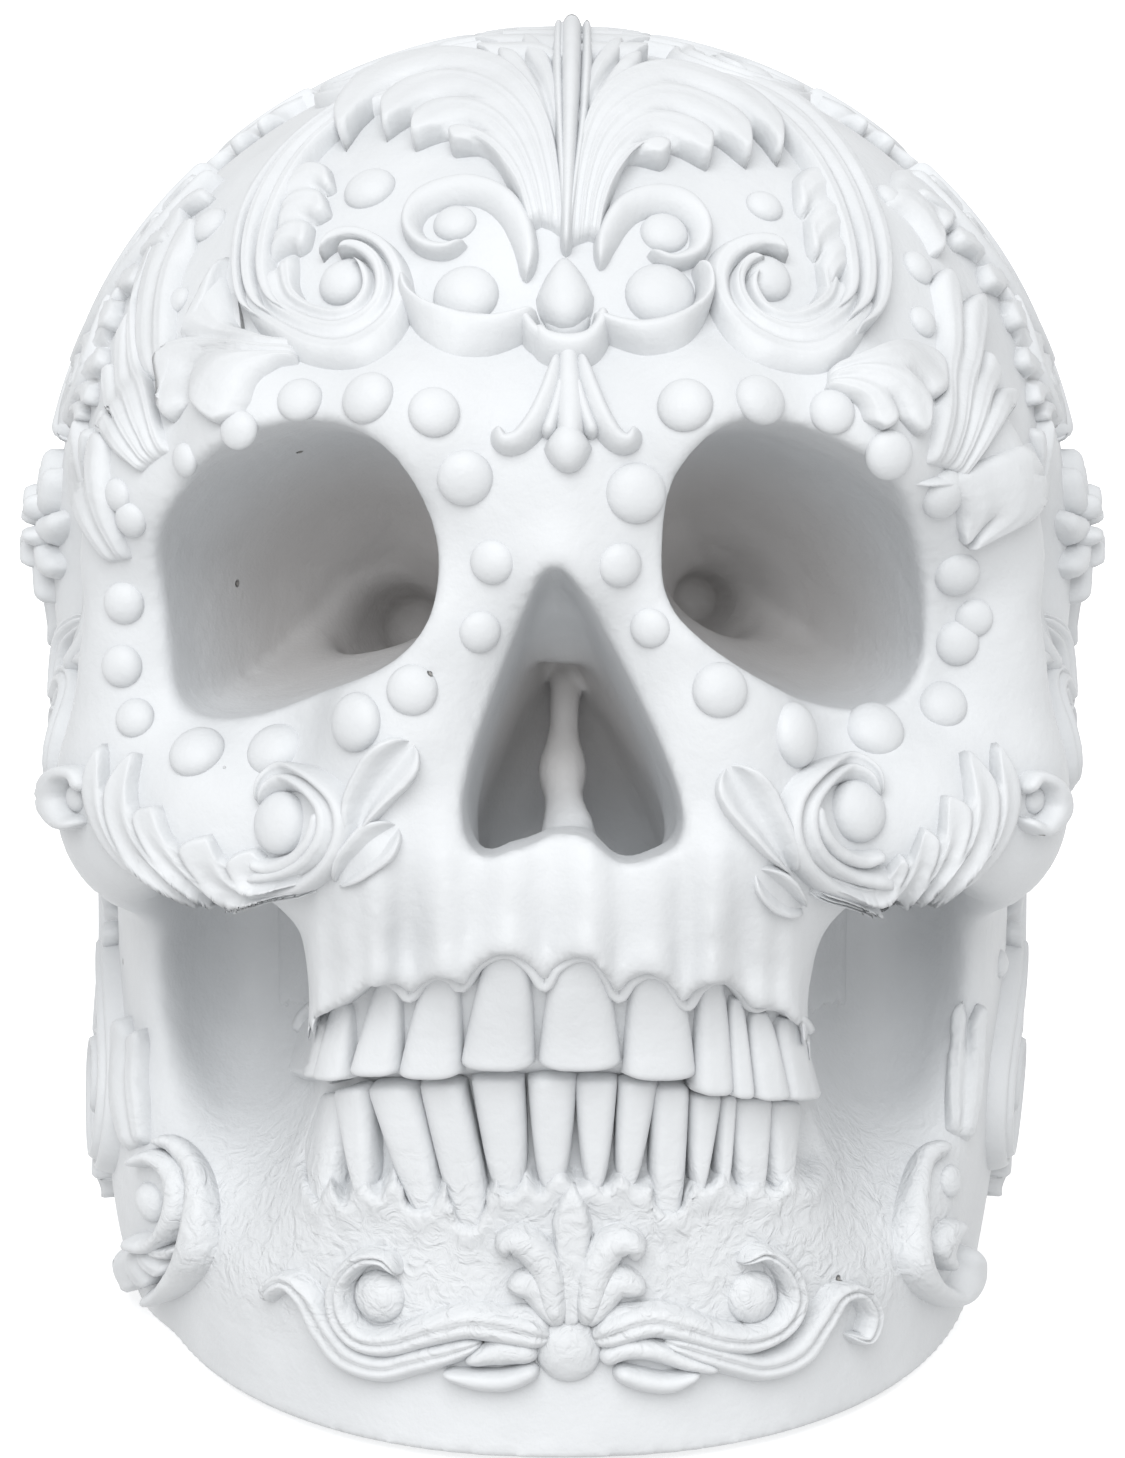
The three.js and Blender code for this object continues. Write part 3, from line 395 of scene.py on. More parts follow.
# %% Surface nets
CUBE_CORNERS = [np.array([i & 1, i >> 1 & 1, i >> 2 & 1]) for i in range(8)]


def net_vertices(values, step):
    """One vertex for each grid cell that the surface crosses, and each cell's vertex number."""
    inside = values < 0
    shape = np.array(values.shape) - 1
    count = np.zeros(shape, np.uint8)
    for c in CUBE_CORNERS:
        count += inside[c[0]:shape[0] + c[0], c[1]:shape[1] + c[1], c[2]:shape[2] + c[2]]
    cells = np.argwhere((count > 0) & (count < 8))
    number = np.full(shape, -1, np.int32)
    number[tuple(cells.T)] = np.arange(len(cells))
    at = [values[tuple((cells + c).T)] for c in CUBE_CORNERS]
    total, crossings = np.zeros((len(cells), 3)), np.zeros(len(cells))
    for i, c in enumerate(CUBE_CORNERS):
        for axis in range(3):
            if c[axis] == 0:
                a, b, other = at[i], at[i | 1 << axis], CUBE_CORNERS[i | 1 << axis]
                crossed = (a < 0) != (b < 0)
                t = np.where(crossed, a / np.where(a == b, 1, a - b), 0)
                total += (c + t[:, None] * (other - c)) * crossed[:, None]
                crossings += crossed
    return FIELD_LOW + (cells + total / crossings[:, None]) * step, number


def net_faces(inside, number, axis):
    """One quad for each grid edge along an axis that the surface crosses."""
    shape = np.array(number.shape)
    second, third = (axis + 1) % 3, (axis + 2) % 3
    here = inside[tuple(slice(0, -1) if i == axis else slice(None) for i in range(3))]
    there = inside[tuple(slice(1, None) if i == axis else slice(None) for i in range(3))]
    edges = np.argwhere(here != there)
    ok = (edges[:, second] > 0) & (edges[:, third] > 0)
    ok &= (edges[:, second] < shape[second]) & (edges[:, third] < shape[third])
    edges = edges[ok]
    steps = np.eye(3, dtype=int)
    around = (edges, edges - steps[second], edges - steps[second] - steps[third], edges - steps[third])
    quads = np.stack([number[tuple(a.T)] for a in around], 1)
    backwards = ~here[tuple(edges.T)]
    quads[backwards] = quads[backwards][:, ::-1]
    return quads


def surface_nets(values, step):
    vertices, number = net_vertices(values, step)
    return vertices, np.concatenate([net_faces(values < 0, number, axis) for axis in range(3)])


def new_mesh(name, vertices, faces):
    mesh = bpy.data.meshes.new(name)
    mesh.from_pydata((np.asarray(vertices, float) * MM).tolist(), [], faces)
    mesh.shade_smooth()
    made = bpy.data.objects.new(name, mesh)
    bpy.context.scene.collection.objects.link(made)
    return made


print("each vertex is found from", len(CUBE_CORNERS), "corner values of its cell")

# %% [markdown]
# ## Rays that land on the bone
#
# To put a leaf on the forehead, its points are sent along rays until they meet the bone. Blender's
# BVH tree, built from the bone without its openings, answers each ray at once, and the mesh's normal
# there is the direction in which the carving rises. For the sides, the back and the crown, which the
# photograph's rays don't reach, the rays run to the middle of the cranium instead.

# %% Rays
from mathutils.bvhtree import BVHTree

BONE_STEP = 1.5
CRANIUM_MIDDLE = np.array(CRANIUM[:3]) * SCALE
CHART_RADIUS = 65.0
START_RADIUS = 130.0
# Keeps a corner's weight finite where a ray meets the corner itself, in square mm.
NEAREST = 0.05

bone_vertices, bone_faces = surface_nets(near_points(bone_form, BONE_STEP), BONE_STEP)
bone_tree = BVHTree.FromPolygons(bone_vertices.tolist(), bone_faces.tolist())
bone_mesh = bpy.data.meshes.new("bone")
bone_mesh.from_pydata(bone_vertices.tolist(), [], bone_faces.tolist())
bone_normals = np.empty(len(bone_vertices) * 3, np.float32)
bone_mesh.vertex_normals.foreach_get("vector", bone_normals)
bone_normals = bone_normals.reshape(-1, 3)
bpy.data.meshes.remove(bone_mesh)
print("bone:", len(bone_faces), "faces")


def land(starts, rays):
    """Where rays meet the bone, or pass it nearest, and the outward direction there."""
    spots, faces = np.empty(starts.shape), np.empty(len(starts), int)
    for i, (start, ray) in enumerate(zip(starts.tolist(), rays.tolist())):
        spot, _, face, _ = bone_tree.ray_cast(start, ray)
        if face is None:
            start, ray = Vector(start), Vector(ray)
            nearest = start + ray * (Vector(CRANIUM_MIDDLE) - start).dot(ray)
            spot, _, face, _ = bone_tree.find_nearest(nearest)
        spots[i], faces[i] = spot, face
    corners = bone_faces[faces]
    nearness = 1 / (((bone_vertices[corners] - spots[:, None]) ** 2).sum(2) + NEAREST)
    normals = (bone_normals[corners] * nearness[..., None]).sum(1)
    return spots, normals / np.linalg.norm(normals, axis=1, keepdims=True)


def land_on(rays, place):
    """The spot and the outward direction under one place of a chart."""
    spots, normals = land(*rays(np.array([place], float)))
    return spots[0], normals[0]


forehead_spot, _ = land_on(photo_rays, (PHOTO_WIDTH / 2, PHOTO_HEIGHT / 8))
print("middle of the forehead, in mm:", forehead_spot.round(1))

# %% [markdown]
# A chart is a small flat drawing board in millimetres. The side charts stand off the head where an
# azimuth and an elevation point, and the wall charts are rolled round the jaw like a label on a jar.

# %% Charts
WALL_RADIUS = 52.0


def side_rays(azimuth, elevation, turn=0.0, flip=False):
    """Rays for a drawing in mm, laid on the head where azimuth and elevation point. Azimuth 0 is
    the face and 90 the viewer's right, and the drawing's second axis points up unless turned."""
    a, e, r = math.radians(azimuth), math.radians(elevation), math.radians(turn)
    out = np.array([math.sin(a) * math.cos(e), -math.cos(a) * math.cos(e), math.sin(e)])
    right = np.array([math.cos(a), math.sin(a), 0.0])
    above = np.cross(out, right)
    axes = (right * math.cos(r) + above * math.sin(r), above * math.cos(r) - right * math.sin(r))

    def rays(places):
        x = -places[..., :1] if flip else places[..., :1]
        ray = out + (x * axes[0] + places[..., 1:] * axes[1]) / CHART_RADIUS
        ray /= np.linalg.norm(ray, axis=-1, keepdims=True)
        return CRANIUM_MIDDLE + ray * START_RADIUS, -ray

    return rays


def wall_rays(azimuth, height, flip=False):
    """Rays for a drawing in mm, rolled round the upright wall from an azimuth and a height."""

    def rays(places):
        x = -places[..., 0] if flip else places[..., 0]
        turn = math.radians(azimuth) + x / WALL_RADIUS
        out = np.stack([np.sin(turn), -np.cos(turn), np.zeros_like(turn)], -1)
        foot = np.zeros_like(out)
        foot[..., 1] = HALF_DEPTH * JAW_MIDDLE
        foot[..., 2] = height + places[..., 1]
        return foot + out * START_RADIUS, -out

    return rays


print("widest spot of the head, in mm:", land_on(side_rays(90, 0), (0, 0))[0].round(1))

# %% [markdown]
# ## The two castings
#
# The inside is a domed hollow over an upright well, with a rebate for the closing plate, whose size
# comes from the plate in the frame. The jaw is its own casting, parted from the skull along the bite
# line and under the cheek arches. The glued joint is filled on the real object, so the jaw reaches a
# little way under the skull's edge here and no gap opens, though a fine line shows from the side.

# %% Hollow and parting
WALL = 9.0
plate_low, plate_high = (np.array(v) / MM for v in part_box("base_plate"))
UNDERSIDE = plate_low[2]
REBATE_GAP = 0.3
PLATE_LEDGE = 3.0
SOCKET_REACH = 38
DOME_FRONT = SOCKET_PLANE + SOCKET_REACH + WALL
DOME_BACK = HALF_DEPTH * (CRANIUM[1] + CRANIUM[4]) - WALL
WELL_TOP = 0.33 * HEIGHT
WELL_BLEND = 2.0
PARTING_BACK = 0.1 * HALF_DEPTH
BITE_HALF = 0.52 * HALF_WIDTH
BITE_MIDDLE, BITE_FALL = 0.301, 0.035
ARM_TOP = 0.39 * HEIGHT
JOINT_OVERLAP = 1.5
JOINT_STEP = 0.15


def bite_height(x):
    return HEIGHT * (BITE_MIDDLE - BITE_FALL * (x / BITE_HALF) ** 2)


def hollow(p):
    dome_middle = np.array([0, (DOME_FRONT + DOME_BACK) / 2, HEIGHT * CRANIUM[2]])
    dome_radii = np.array([HALF_WIDTH * CRANIUM[3] - WALL, (DOME_BACK - DOME_FRONT) / 2,
                           HEIGHT * CRANIUM[5] - WALL])
    dome = blob(p, (*(dome_middle / SCALE), *(dome_radii / SCALE)))
    middle = (plate_low + plate_high) / 2
    radii = (plate_high - plate_low) / 2 - PLATE_LEDGE + REBATE_GAP
    well = upright_wall(p, middle[1], radii[0], radii[1], 2)
    well = np.maximum(well, p[:, 2] - WELL_TOP)
    rebate = upright_wall(p, middle[1], radii[0] + PLATE_LEDGE, radii[1] + PLATE_LEDGE, 2)
    rebate = np.maximum(rebate, p[:, 2] - plate_high[2] - REBATE_GAP)
    return np.minimum(blend_min(dome, well, WELL_BLEND), rebate)


def jaw_region(x, y, z):
    """Negative where the jaw casting is, and positive in the skull casting."""
    arms = np.maximum(z - ARM_TOP, BITE_HALF - np.abs(x))
    return np.maximum(y - PARTING_BACK, np.minimum(z - bite_height(x), arms))


print("bite line at z", round(bite_height(0), 1), "in the middle and", round(bite_height(BITE_HALF), 1),
      "at its ends, in mm")

# %% [markdown]
# ## Gums and roots
#
# The upper gum ends in a scalloped rim over the teeth, the roots show as upright ridges above it, and
# the lower gum has a ragged edge. These are too fine for limbs, so they are heights that are taken
# off the field: a height of one millimetre raises the bone by one millimetre.

# %% Gums and roots
UPPER_GUM_PIXELS = (
    (300, 1034), (306, 1018), (322, 1003), (340, 1000), (356, 990), (372, 977), (390, 975), (404, 984),
    (413, 993), (424, 978), (440, 969), (455, 974), (464, 982), (478, 962), (496, 951), (514, 950),
    (532, 964), (545, 981), (556, 964), (574, 953), (592, 954), (606, 972), (617, 992), (630, 976),
    (648, 968), (666, 976), (683, 1001), (696, 984), (710, 975), (726, 976), (740, 990), (750, 1004),
    (764, 1002), (782, 1006), (796, 1018), (808, 1036))
LOWER_GUM_PIXELS = (
    (290, 1160), (305, 1178), (318, 1200), (330, 1180), (345, 1205), (362, 1178), (378, 1198),
    (396, 1172), (410, 1210), (432, 1206), (446, 1180), (458, 1222), (478, 1226), (494, 1178),
    (508, 1196), (526, 1176), (540, 1192), (560, 1166), (575, 1190), (590, 1178), (604, 1192),
    (622, 1172), (640, 1190), (652, 1182), (660, 1214), (684, 1210), (690, 1178), (706, 1192),
    (722, 1170), (738, 1192), (756, 1178), (772, 1196), (790, 1172), (806, 1184))
ROOT_PIXELS = ((318, 1.6, 0.5), (346, 1.6, 0.7), (378, 2.2, 1.0), (446, 2.8, 0.8), (508, 2.8, 0.6),
               (592, 3.0, 0.7), (656, 2.6, 0.6), (712, 2.4, 0.9), (760, 1.8, 0.6), (790, 1.4, 0.5))
ROOT_ROW, ROOT_PLANE = 940, -70
ROOT_HEIGHT, ROOT_FADE = 2.7, (5, 19)
GUM_LIP, LOWER_LIP_SHARE = 1.0, 0.5
UPPER_LIP_RISE, UPPER_LIP_WIDTH = 1.2, 2.4
LOWER_LIP_DROP, LOWER_LIP_WIDTH = 0.8, 1.6
LIP_OVERLAP = 0.5
UPPER_DEPTH, LOWER_DEPTH = 0.5, 2.6
GUM_STEP = 0.4
BITE_STEP = (-1, 2)
MOUTH_HALF, MOUTH_BACK = (25.5, 29), (-60, -54)


def gum_edge(pixels):
    """Height of a gum's edge as a function of x, from the pixels where the photograph shows it."""
    spot, _ = land(*photo_rays(np.array(pixels, float)))
    order = np.argsort(spot[:, 0])
    return spot[order, 0], spot[order, 2]


upper_gum, lower_gum = gum_edge(UPPER_GUM_PIXELS), gum_edge(LOWER_GUM_PIXELS)
root_x = on_plane([(u, ROOT_ROW) for u, _, _ in ROOT_PIXELS], ROOT_PLANE)[:, 0]
print("upper gum between z", upper_gum[1].min().round(1), "and", upper_gum[1].max().round(1))


def ramp(value, low, high):
    t = np.clip((value - low) / (high - low), 0, 1)
    return t * t * (3 - 2 * t)


def gum_lips(upper, lower, z):
    """The swollen rims of both gums, over the teeth and under them."""
    over = np.exp(-((z - upper - UPPER_LIP_RISE) / UPPER_LIP_WIDTH) ** 2) * (z > upper - LIP_OVERLAP)
    under = np.exp(-((z - lower + LOWER_LIP_DROP) / LOWER_LIP_WIDTH) ** 2) * (z < lower + LIP_OVERLAP)
    return GUM_LIP * (over + LOWER_LIP_SHARE * under)


def tooth_roots(x, z, upper):
    """Upright ridges over the upper teeth, which fade towards the nose."""
    ridges = sum(share * np.exp(-((x - at) / half) ** 2)
                 for at, (_, half, share) in zip(root_x, ROOT_PIXELS))
    start = ramp(z, upper - LIP_OVERLAP, upper + LIP_OVERLAP)
    return ridges * start * (1 - ramp(z, upper + ROOT_FADE[0], upper + ROOT_FADE[1]))


def mouth_relief(x, y, z):
    """Height to add to the bone round the teeth."""
    upper, lower = np.interp(x, *upper_gum), np.interp(x, *lower_gum)
    front = (1 - ramp(np.abs(x), *MOUTH_HALF)) * (1 - ramp(y, *MOUTH_BACK))
    above_lower = ramp(z, lower - GUM_STEP, lower + GUM_STEP)
    in_mouth = above_lower * (1 - ramp(z, upper - GUM_STEP, upper + GUM_STEP))
    bite = bite_height(x)
    upper_share = ramp(z, bite + BITE_STEP[0], bite + BITE_STEP[1])
    depth = LOWER_DEPTH + (UPPER_DEPTH - LOWER_DEPTH) * upper_share
    roots = tooth_roots(x, z, upper)
    return front * (gum_lips(upper, lower, z) + ROOT_HEIGHT * roots - depth * in_mouth)


print("roots stand", ROOT_HEIGHT, "mm proud of the gum")

# %% [markdown]
# Both castings come from the same grid of values. Cutting it along the parting with a maximum gives
# two closed meshes, and Decimate brings each to a number of triangles that the part's files can hold.

# %% Both castings
SKULL_TRIANGLES, JAW_TRIANGLES = 175000, 90000
MOUTH_REACH, MOUTH_BEHIND, MOUTH_HEIGHT = 31, -36, 43
TUCK_WIDTH = 1.0


def baked(made):
    """The object with its modifiers turned into a plain mesh."""
    mesh = bpy.data.meshes.new_from_object(made.evaluated_get(bpy.context.evaluated_depsgraph_get()))
    made.modifiers.clear()
    old, made.data = made.data, mesh
    bpy.data.meshes.remove(old)
    return made


def casting(name, values, triangles):
    vertices, faces = surface_nets(values, GRID)
    made = new_mesh(name, vertices, faces.tolist())
    count = 2 * len(faces)
    if count > triangles:
        fewer = made.modifiers.new("fewer", "DECIMATE")
        fewer.ratio = triangles / count
        baked(made)
        made.data.shade_smooth()
    print(name, "has", sum(len(f.vertices) - 2 for f in made.data.polygons), "triangles")
    return made


head_values = near_points(head_form, GRID)
axes = [(FIELD_LOW[i] + np.arange(head_values.shape[i]) * GRID).astype(np.float32) for i in range(3)]
grid_x, grid_y, grid_z = np.meshgrid(*axes, indexing="ij", sparse=True)
near_x, near_y = np.abs(axes[0]) < MOUTH_REACH, axes[1] < MOUTH_BEHIND
near_z = np.abs(axes[2] - MOUTH_HEIGHT) < MOUTH_REACH
relief = mouth_relief(grid_x[near_x], grid_y[:, near_y], grid_z[:, :, near_z])
head_values[np.ix_(near_x, near_y, near_z)] -= relief
head_values = np.maximum(head_values, UNDERSIDE - grid_z)
head_values = np.maximum(head_values, -near_points(hollow, GRID))
part_line = jaw_region(grid_x, grid_y, grid_z)
tuck = JOINT_STEP * ramp(part_line, -TUCK_WIDTH, 0.0)
skull = casting("skull_bone", np.maximum(head_values, -part_line), SKULL_TRIANGLES)
jaw = casting("jaw_bone", np.maximum(head_values + tuck, part_line - JOINT_OVERLAP), JAW_TRIANGLES)

# %% [markdown]
# ## A patch of carving
#
# Every scroll, leaf and tooth is a patch: a small sheet of points drawn flat, sent to the bone, and
# raised by a height that follows its own rows and columns. Because the mesh runs along the ribs, a
# groove stays crisp with few faces. The sheet gets sides and a bottom that reach below the bone, so
# each patch is a closed body that sits in the surface.

# %% Patch
PIXEL = 1 / PIXELS_PER_MM
PATCH_SINK = 1.6
EDGE_SINK = 0.25
FLOOR_GAP = 0.2
carvings = {}


def patch(piece, places, height, rays=photo_rays, sink=PATCH_SINK):
    """A closed raised sheet: rows and columns of places on a chart, with a height in mm for each."""
    rows, columns = height.shape
    spot, normal = land(*(v.reshape(-1, 3) for v in rays(places)))
    top = spot + normal * height.reshape(-1, 1)
    under = (spot - normal * sink).reshape(rows, columns, 3)
    vertices = np.concatenate([top, under[:, 0], under[:, -1]])
    vertices[:, 2] = np.maximum(vertices[:, 2], UNDERSIDE + FLOOR_GAP)
    index = np.arange(rows * columns).reshape(rows, columns)
    left = rows * columns + np.arange(rows)
    right = left + rows
    across = np.concatenate([left[:, None], index, right[:, None]], 1)
    quads = np.stack([across[:-1, :-1], across[:-1, 1:], across[1:, 1:], across[1:, :-1]], -1)
    quads = quads.reshape(-1, 4)
    bottom = np.stack([right[:-1], left[:-1], left[1:], right[1:]], -1)
    a, b, c, d = (vertices[quads[:, i]] for i in range(4))
    outwards = np.repeat(normal.reshape(rows, columns, 3)[:-1, :1], columns + 1, 1).reshape(-1, 3)
    ends = [across[0][::-1].tolist(), across[-1].tolist()]
    faces = np.concatenate([quads, bottom]).tolist() + ends
    if (np.cross(c - a, d - b) * outwards).sum() < 0:
        faces = [face[::-1] for face in faces]
    carvings.setdefault(piece, []).append((vertices, faces))


print("a pixel of the photograph is", round(PIXEL, 3), "mm on the skull")

# %% [markdown]
# A band is a patch along one line: a scroll's stem, a petal or a rib. The front, which the camera
# sees, gets the fine steps, and the sides and the back, drawn in millimetres, get coarser ones.

# %% Bands
FRONT = dict(unit=PIXEL, step=0.34, per_rib=7, spare=1, fewest=13,
             leaf_columns=10)
SIDE = dict(unit=1.0, step=0.55, per_rib=5, spare=3, fewest=0,
            leaf_columns=6)
LINE_SPAN = 14
CROWDING = 0.85
SHOULDER = 0.7
GROOVE_POWER = 2.5
TIP_POWER = 0.8
THINNEST = 0.04


def evenly(points, step, count=0):
    """A smooth line through a few points, with points a step apart, or so many of them."""
    line = smooth_points(points, LINE_SPAN)
    travel = np.concatenate([[0], np.cumsum(np.linalg.norm(np.diff(line, axis=0), axis=1))])
    count = count or max(8, int(travel[-1] / step) + 1)
    along = np.linspace(0, travel[-1], count)
    line = np.stack([np.interp(along, travel, line[:, i]) for i in range(2)], 1)
    return line, along, travel[-1]


def rounded(distance, width):
    """A rise from 0 to 1 over a width, with the profile of a quarter circle."""
    return np.sqrt(np.clip(1 - (1 - np.clip(distance / width, 0, 1)) ** 2, 0, 1))


def band(piece, points, widths, height, ribs=1, groove=0.55, power=2.4, tilt=0.0, dish=0.0,
         rays=photo_rays, detail=FRONT):
    """A carved band along a line: half widths at even shares of its length, and ribs along it. tilt
    raises one edge, and dish hollows the middle."""
    line, along, length = evenly(points, detail["step"] / detail["unit"])
    half = np.interp(along / length, np.linspace(0, 1, len(widths)), widths)
    ends = rounded(np.minimum(along, length - along), half.max())
    half = half * np.maximum(ends, THINNEST)
    slope = np.gradient(line, axis=0)
    slope /= np.linalg.norm(slope, axis=1, keepdims=True)
    normal = np.stack([-slope[:, 1], slope[:, 0]], 1)
    q = np.linspace(-1, 1, max(detail["fewest"], ribs * detail["per_rib"] + detail["spare"]))
    q = np.sign(q) * np.abs(q) ** CROWDING
    places = line[:, None] + normal[:, None] * (half[:, None] * q)[..., None]
    dome = np.clip(1 - np.abs(q) ** power, 0, 1) ** SHOULDER
    dome = dome * (1 + tilt * q) * (1 - dish * (1 - q * q))
    if ribs > 1:
        dome = dome * (1 - groove * np.abs(2 * (((q + 1) / 2 * ribs) % 1) - 1) ** GROOVE_POWER)
    raised = height * dome * ends[:, None] ** TIP_POWER - EDGE_SINK
    patch(piece, places, raised, rays)


print("rows on the front are", FRONT["step"], "mm apart, and on the sides", SIDE["step"], "mm")

# %% [markdown]
# An acanthus leaf is one sheet, because its lobes grow together at the root. The strokes are its ribs:
# the sheet is stretched between them, sinks in a groove between each two, and ends in pointed lobes.

# %% Leaves
STROKE_POINTS = 60
TIP_PLACE = 0.6
TIP_ROUNDING = 1.3
EDGE_ROUNDING = 0.45
SLOT_START, SLOT_END, SLOT_DEPTH, SLOT_POWER = 0.62, 0.97, 0.7, 6
VEIN_DEPTH, VEIN_FADE = 0.08, (0.7, 0.95)
ROOT_SWELL, CURL_SHARE = 0.7, 0.16
LEAF_ROOT_ROUNDING, LEAF_TIP_ROUNDING = 1.6, 0.9


def leaf_places(lines, grid, reach, share):
    """Places of a sheet that is stretched between strokes, each column as long as its reach."""
    count = len(lines)
    first, last = 1.5 * lines[0] - 0.5 * lines[1], 1.5 * lines[-1] - 0.5 * lines[-2]
    padded = np.stack([first, *lines, last])
    knots = np.array([-0.5, *range(count), count - 0.5])
    places = np.empty((len(share), len(grid), 2))
    for j, (q, far) in enumerate(zip(grid, reach)):
        k = min(int(np.searchsorted(knots, q, "right")) - 1, len(knots) - 2)
        t = (q - knots[k]) / (knots[k + 1] - knots[k])
        line = padded[k] * (1 - t) + padded[k + 1] * t
        for axis in range(2):
            places[:, j, axis] = np.interp(share * far, np.linspace(0, 1, STROKE_POINTS), line[:, axis])
    return places


def leaf_relief(share, grid, valley, groove, veins):
    """Height of a leaf's sheet as a share: grooves between the ribs, slots at the lobes, fine veins."""
    slots = SLOT_DEPTH * ramp(share, SLOT_START, SLOT_END)[:, None] * valley ** SLOT_POWER
    fine = 0.5 + 0.5 * np.cos(2 * math.pi * grid * veins)
    fading = (1 - ramp(share, *VEIN_FADE))[:, None]
    return 1 - groove * valley ** GROOVE_POWER - slots - VEIN_DEPTH * fine * fading


def fan(piece, strokes, height, groove=0.35, lobe=0.15, curl=0.25, veins=3, rays=photo_rays,
        detail=FRONT):
    """A leaf: one sheet over strokes that lie side by side from its root to its lobes. Each stroke is
    a rib, the grooves between them deepen to slots at the lobes, and the lobes' tips curl up."""
    count = len(strokes)
    lines = [evenly(stroke, 1.0, STROKE_POINTS)[0] for stroke in strokes]
    lengths = [np.linalg.norm(np.diff(line, axis=0), axis=1).sum() * detail["unit"] for line in lines]
    share = np.linspace(0, 1, max(10, int(max(lengths) / detail["step"])))
    grid = np.linspace(-0.5, count - 0.5, count * detail["leaf_columns"] + 1)
    phase = (grid + 0.5) % 1
    phase[-1] = 1
    valley = np.abs(2 * phase - 1)
    point = np.minimum(phase / TIP_PLACE, (1 - phase) / (1 - TIP_PLACE))
    places = leaf_places(lines, grid, 1 - lobe * (1 - point) ** TIP_ROUNDING, share)
    side = rounded(0.5 * count - np.abs(grid - (count - 1) / 2), EDGE_ROUNDING)
    swell = ROOT_SWELL + (1 - ROOT_SWELL) * np.sin(math.pi * share)
    swell = swell + curl * np.exp(-((1 - share) / CURL_SHARE) ** 2)
    mean = np.mean(lengths)
    ends = rounded(share * mean, LEAF_ROOT_ROUNDING) * rounded((1 - share) * mean, LEAF_TIP_ROUNDING)
    relief = height * leaf_relief(share, grid, valley, groove, veins) * side
    patch(piece, places, relief * (swell * ends)[:, None] - EDGE_SINK, rays)


def finish_carvings():
    """One object for each named piece of carving."""
    made = []
    for piece, patches in carvings.items():
        offset, vertices, faces = 0, [], []
        for v, f in patches:
            vertices.append(v)
            faces += [[i + offset for i in face] for face in f]
            offset += len(v)
        made.append(new_mesh(piece, np.concatenate(vertices), faces))
        print(piece, len(patches), "patches,", sum(len(f) - 2 for f in faces), "triangles, lowest at",
              round(min(v[:, 2].min() for v in vertices), 1), "mm")
    return made


print("a leaf has", FRONT["leaf_columns"], "columns for each of its ribs")

# %% [markdown]
# ## The crest and the forehead scrolls
#
# A ridged spine runs down the middle of the forehead. From it a hooded leaf unrolls to each side, and
# behind it a long leaf comes down from the crown and ends in a big volute round a bead. Every stroke
# was drawn over the photograph, in its pixels: a leaf has one stroke for each rib, from the root to
# the tips, and a band has half widths along one stroke.

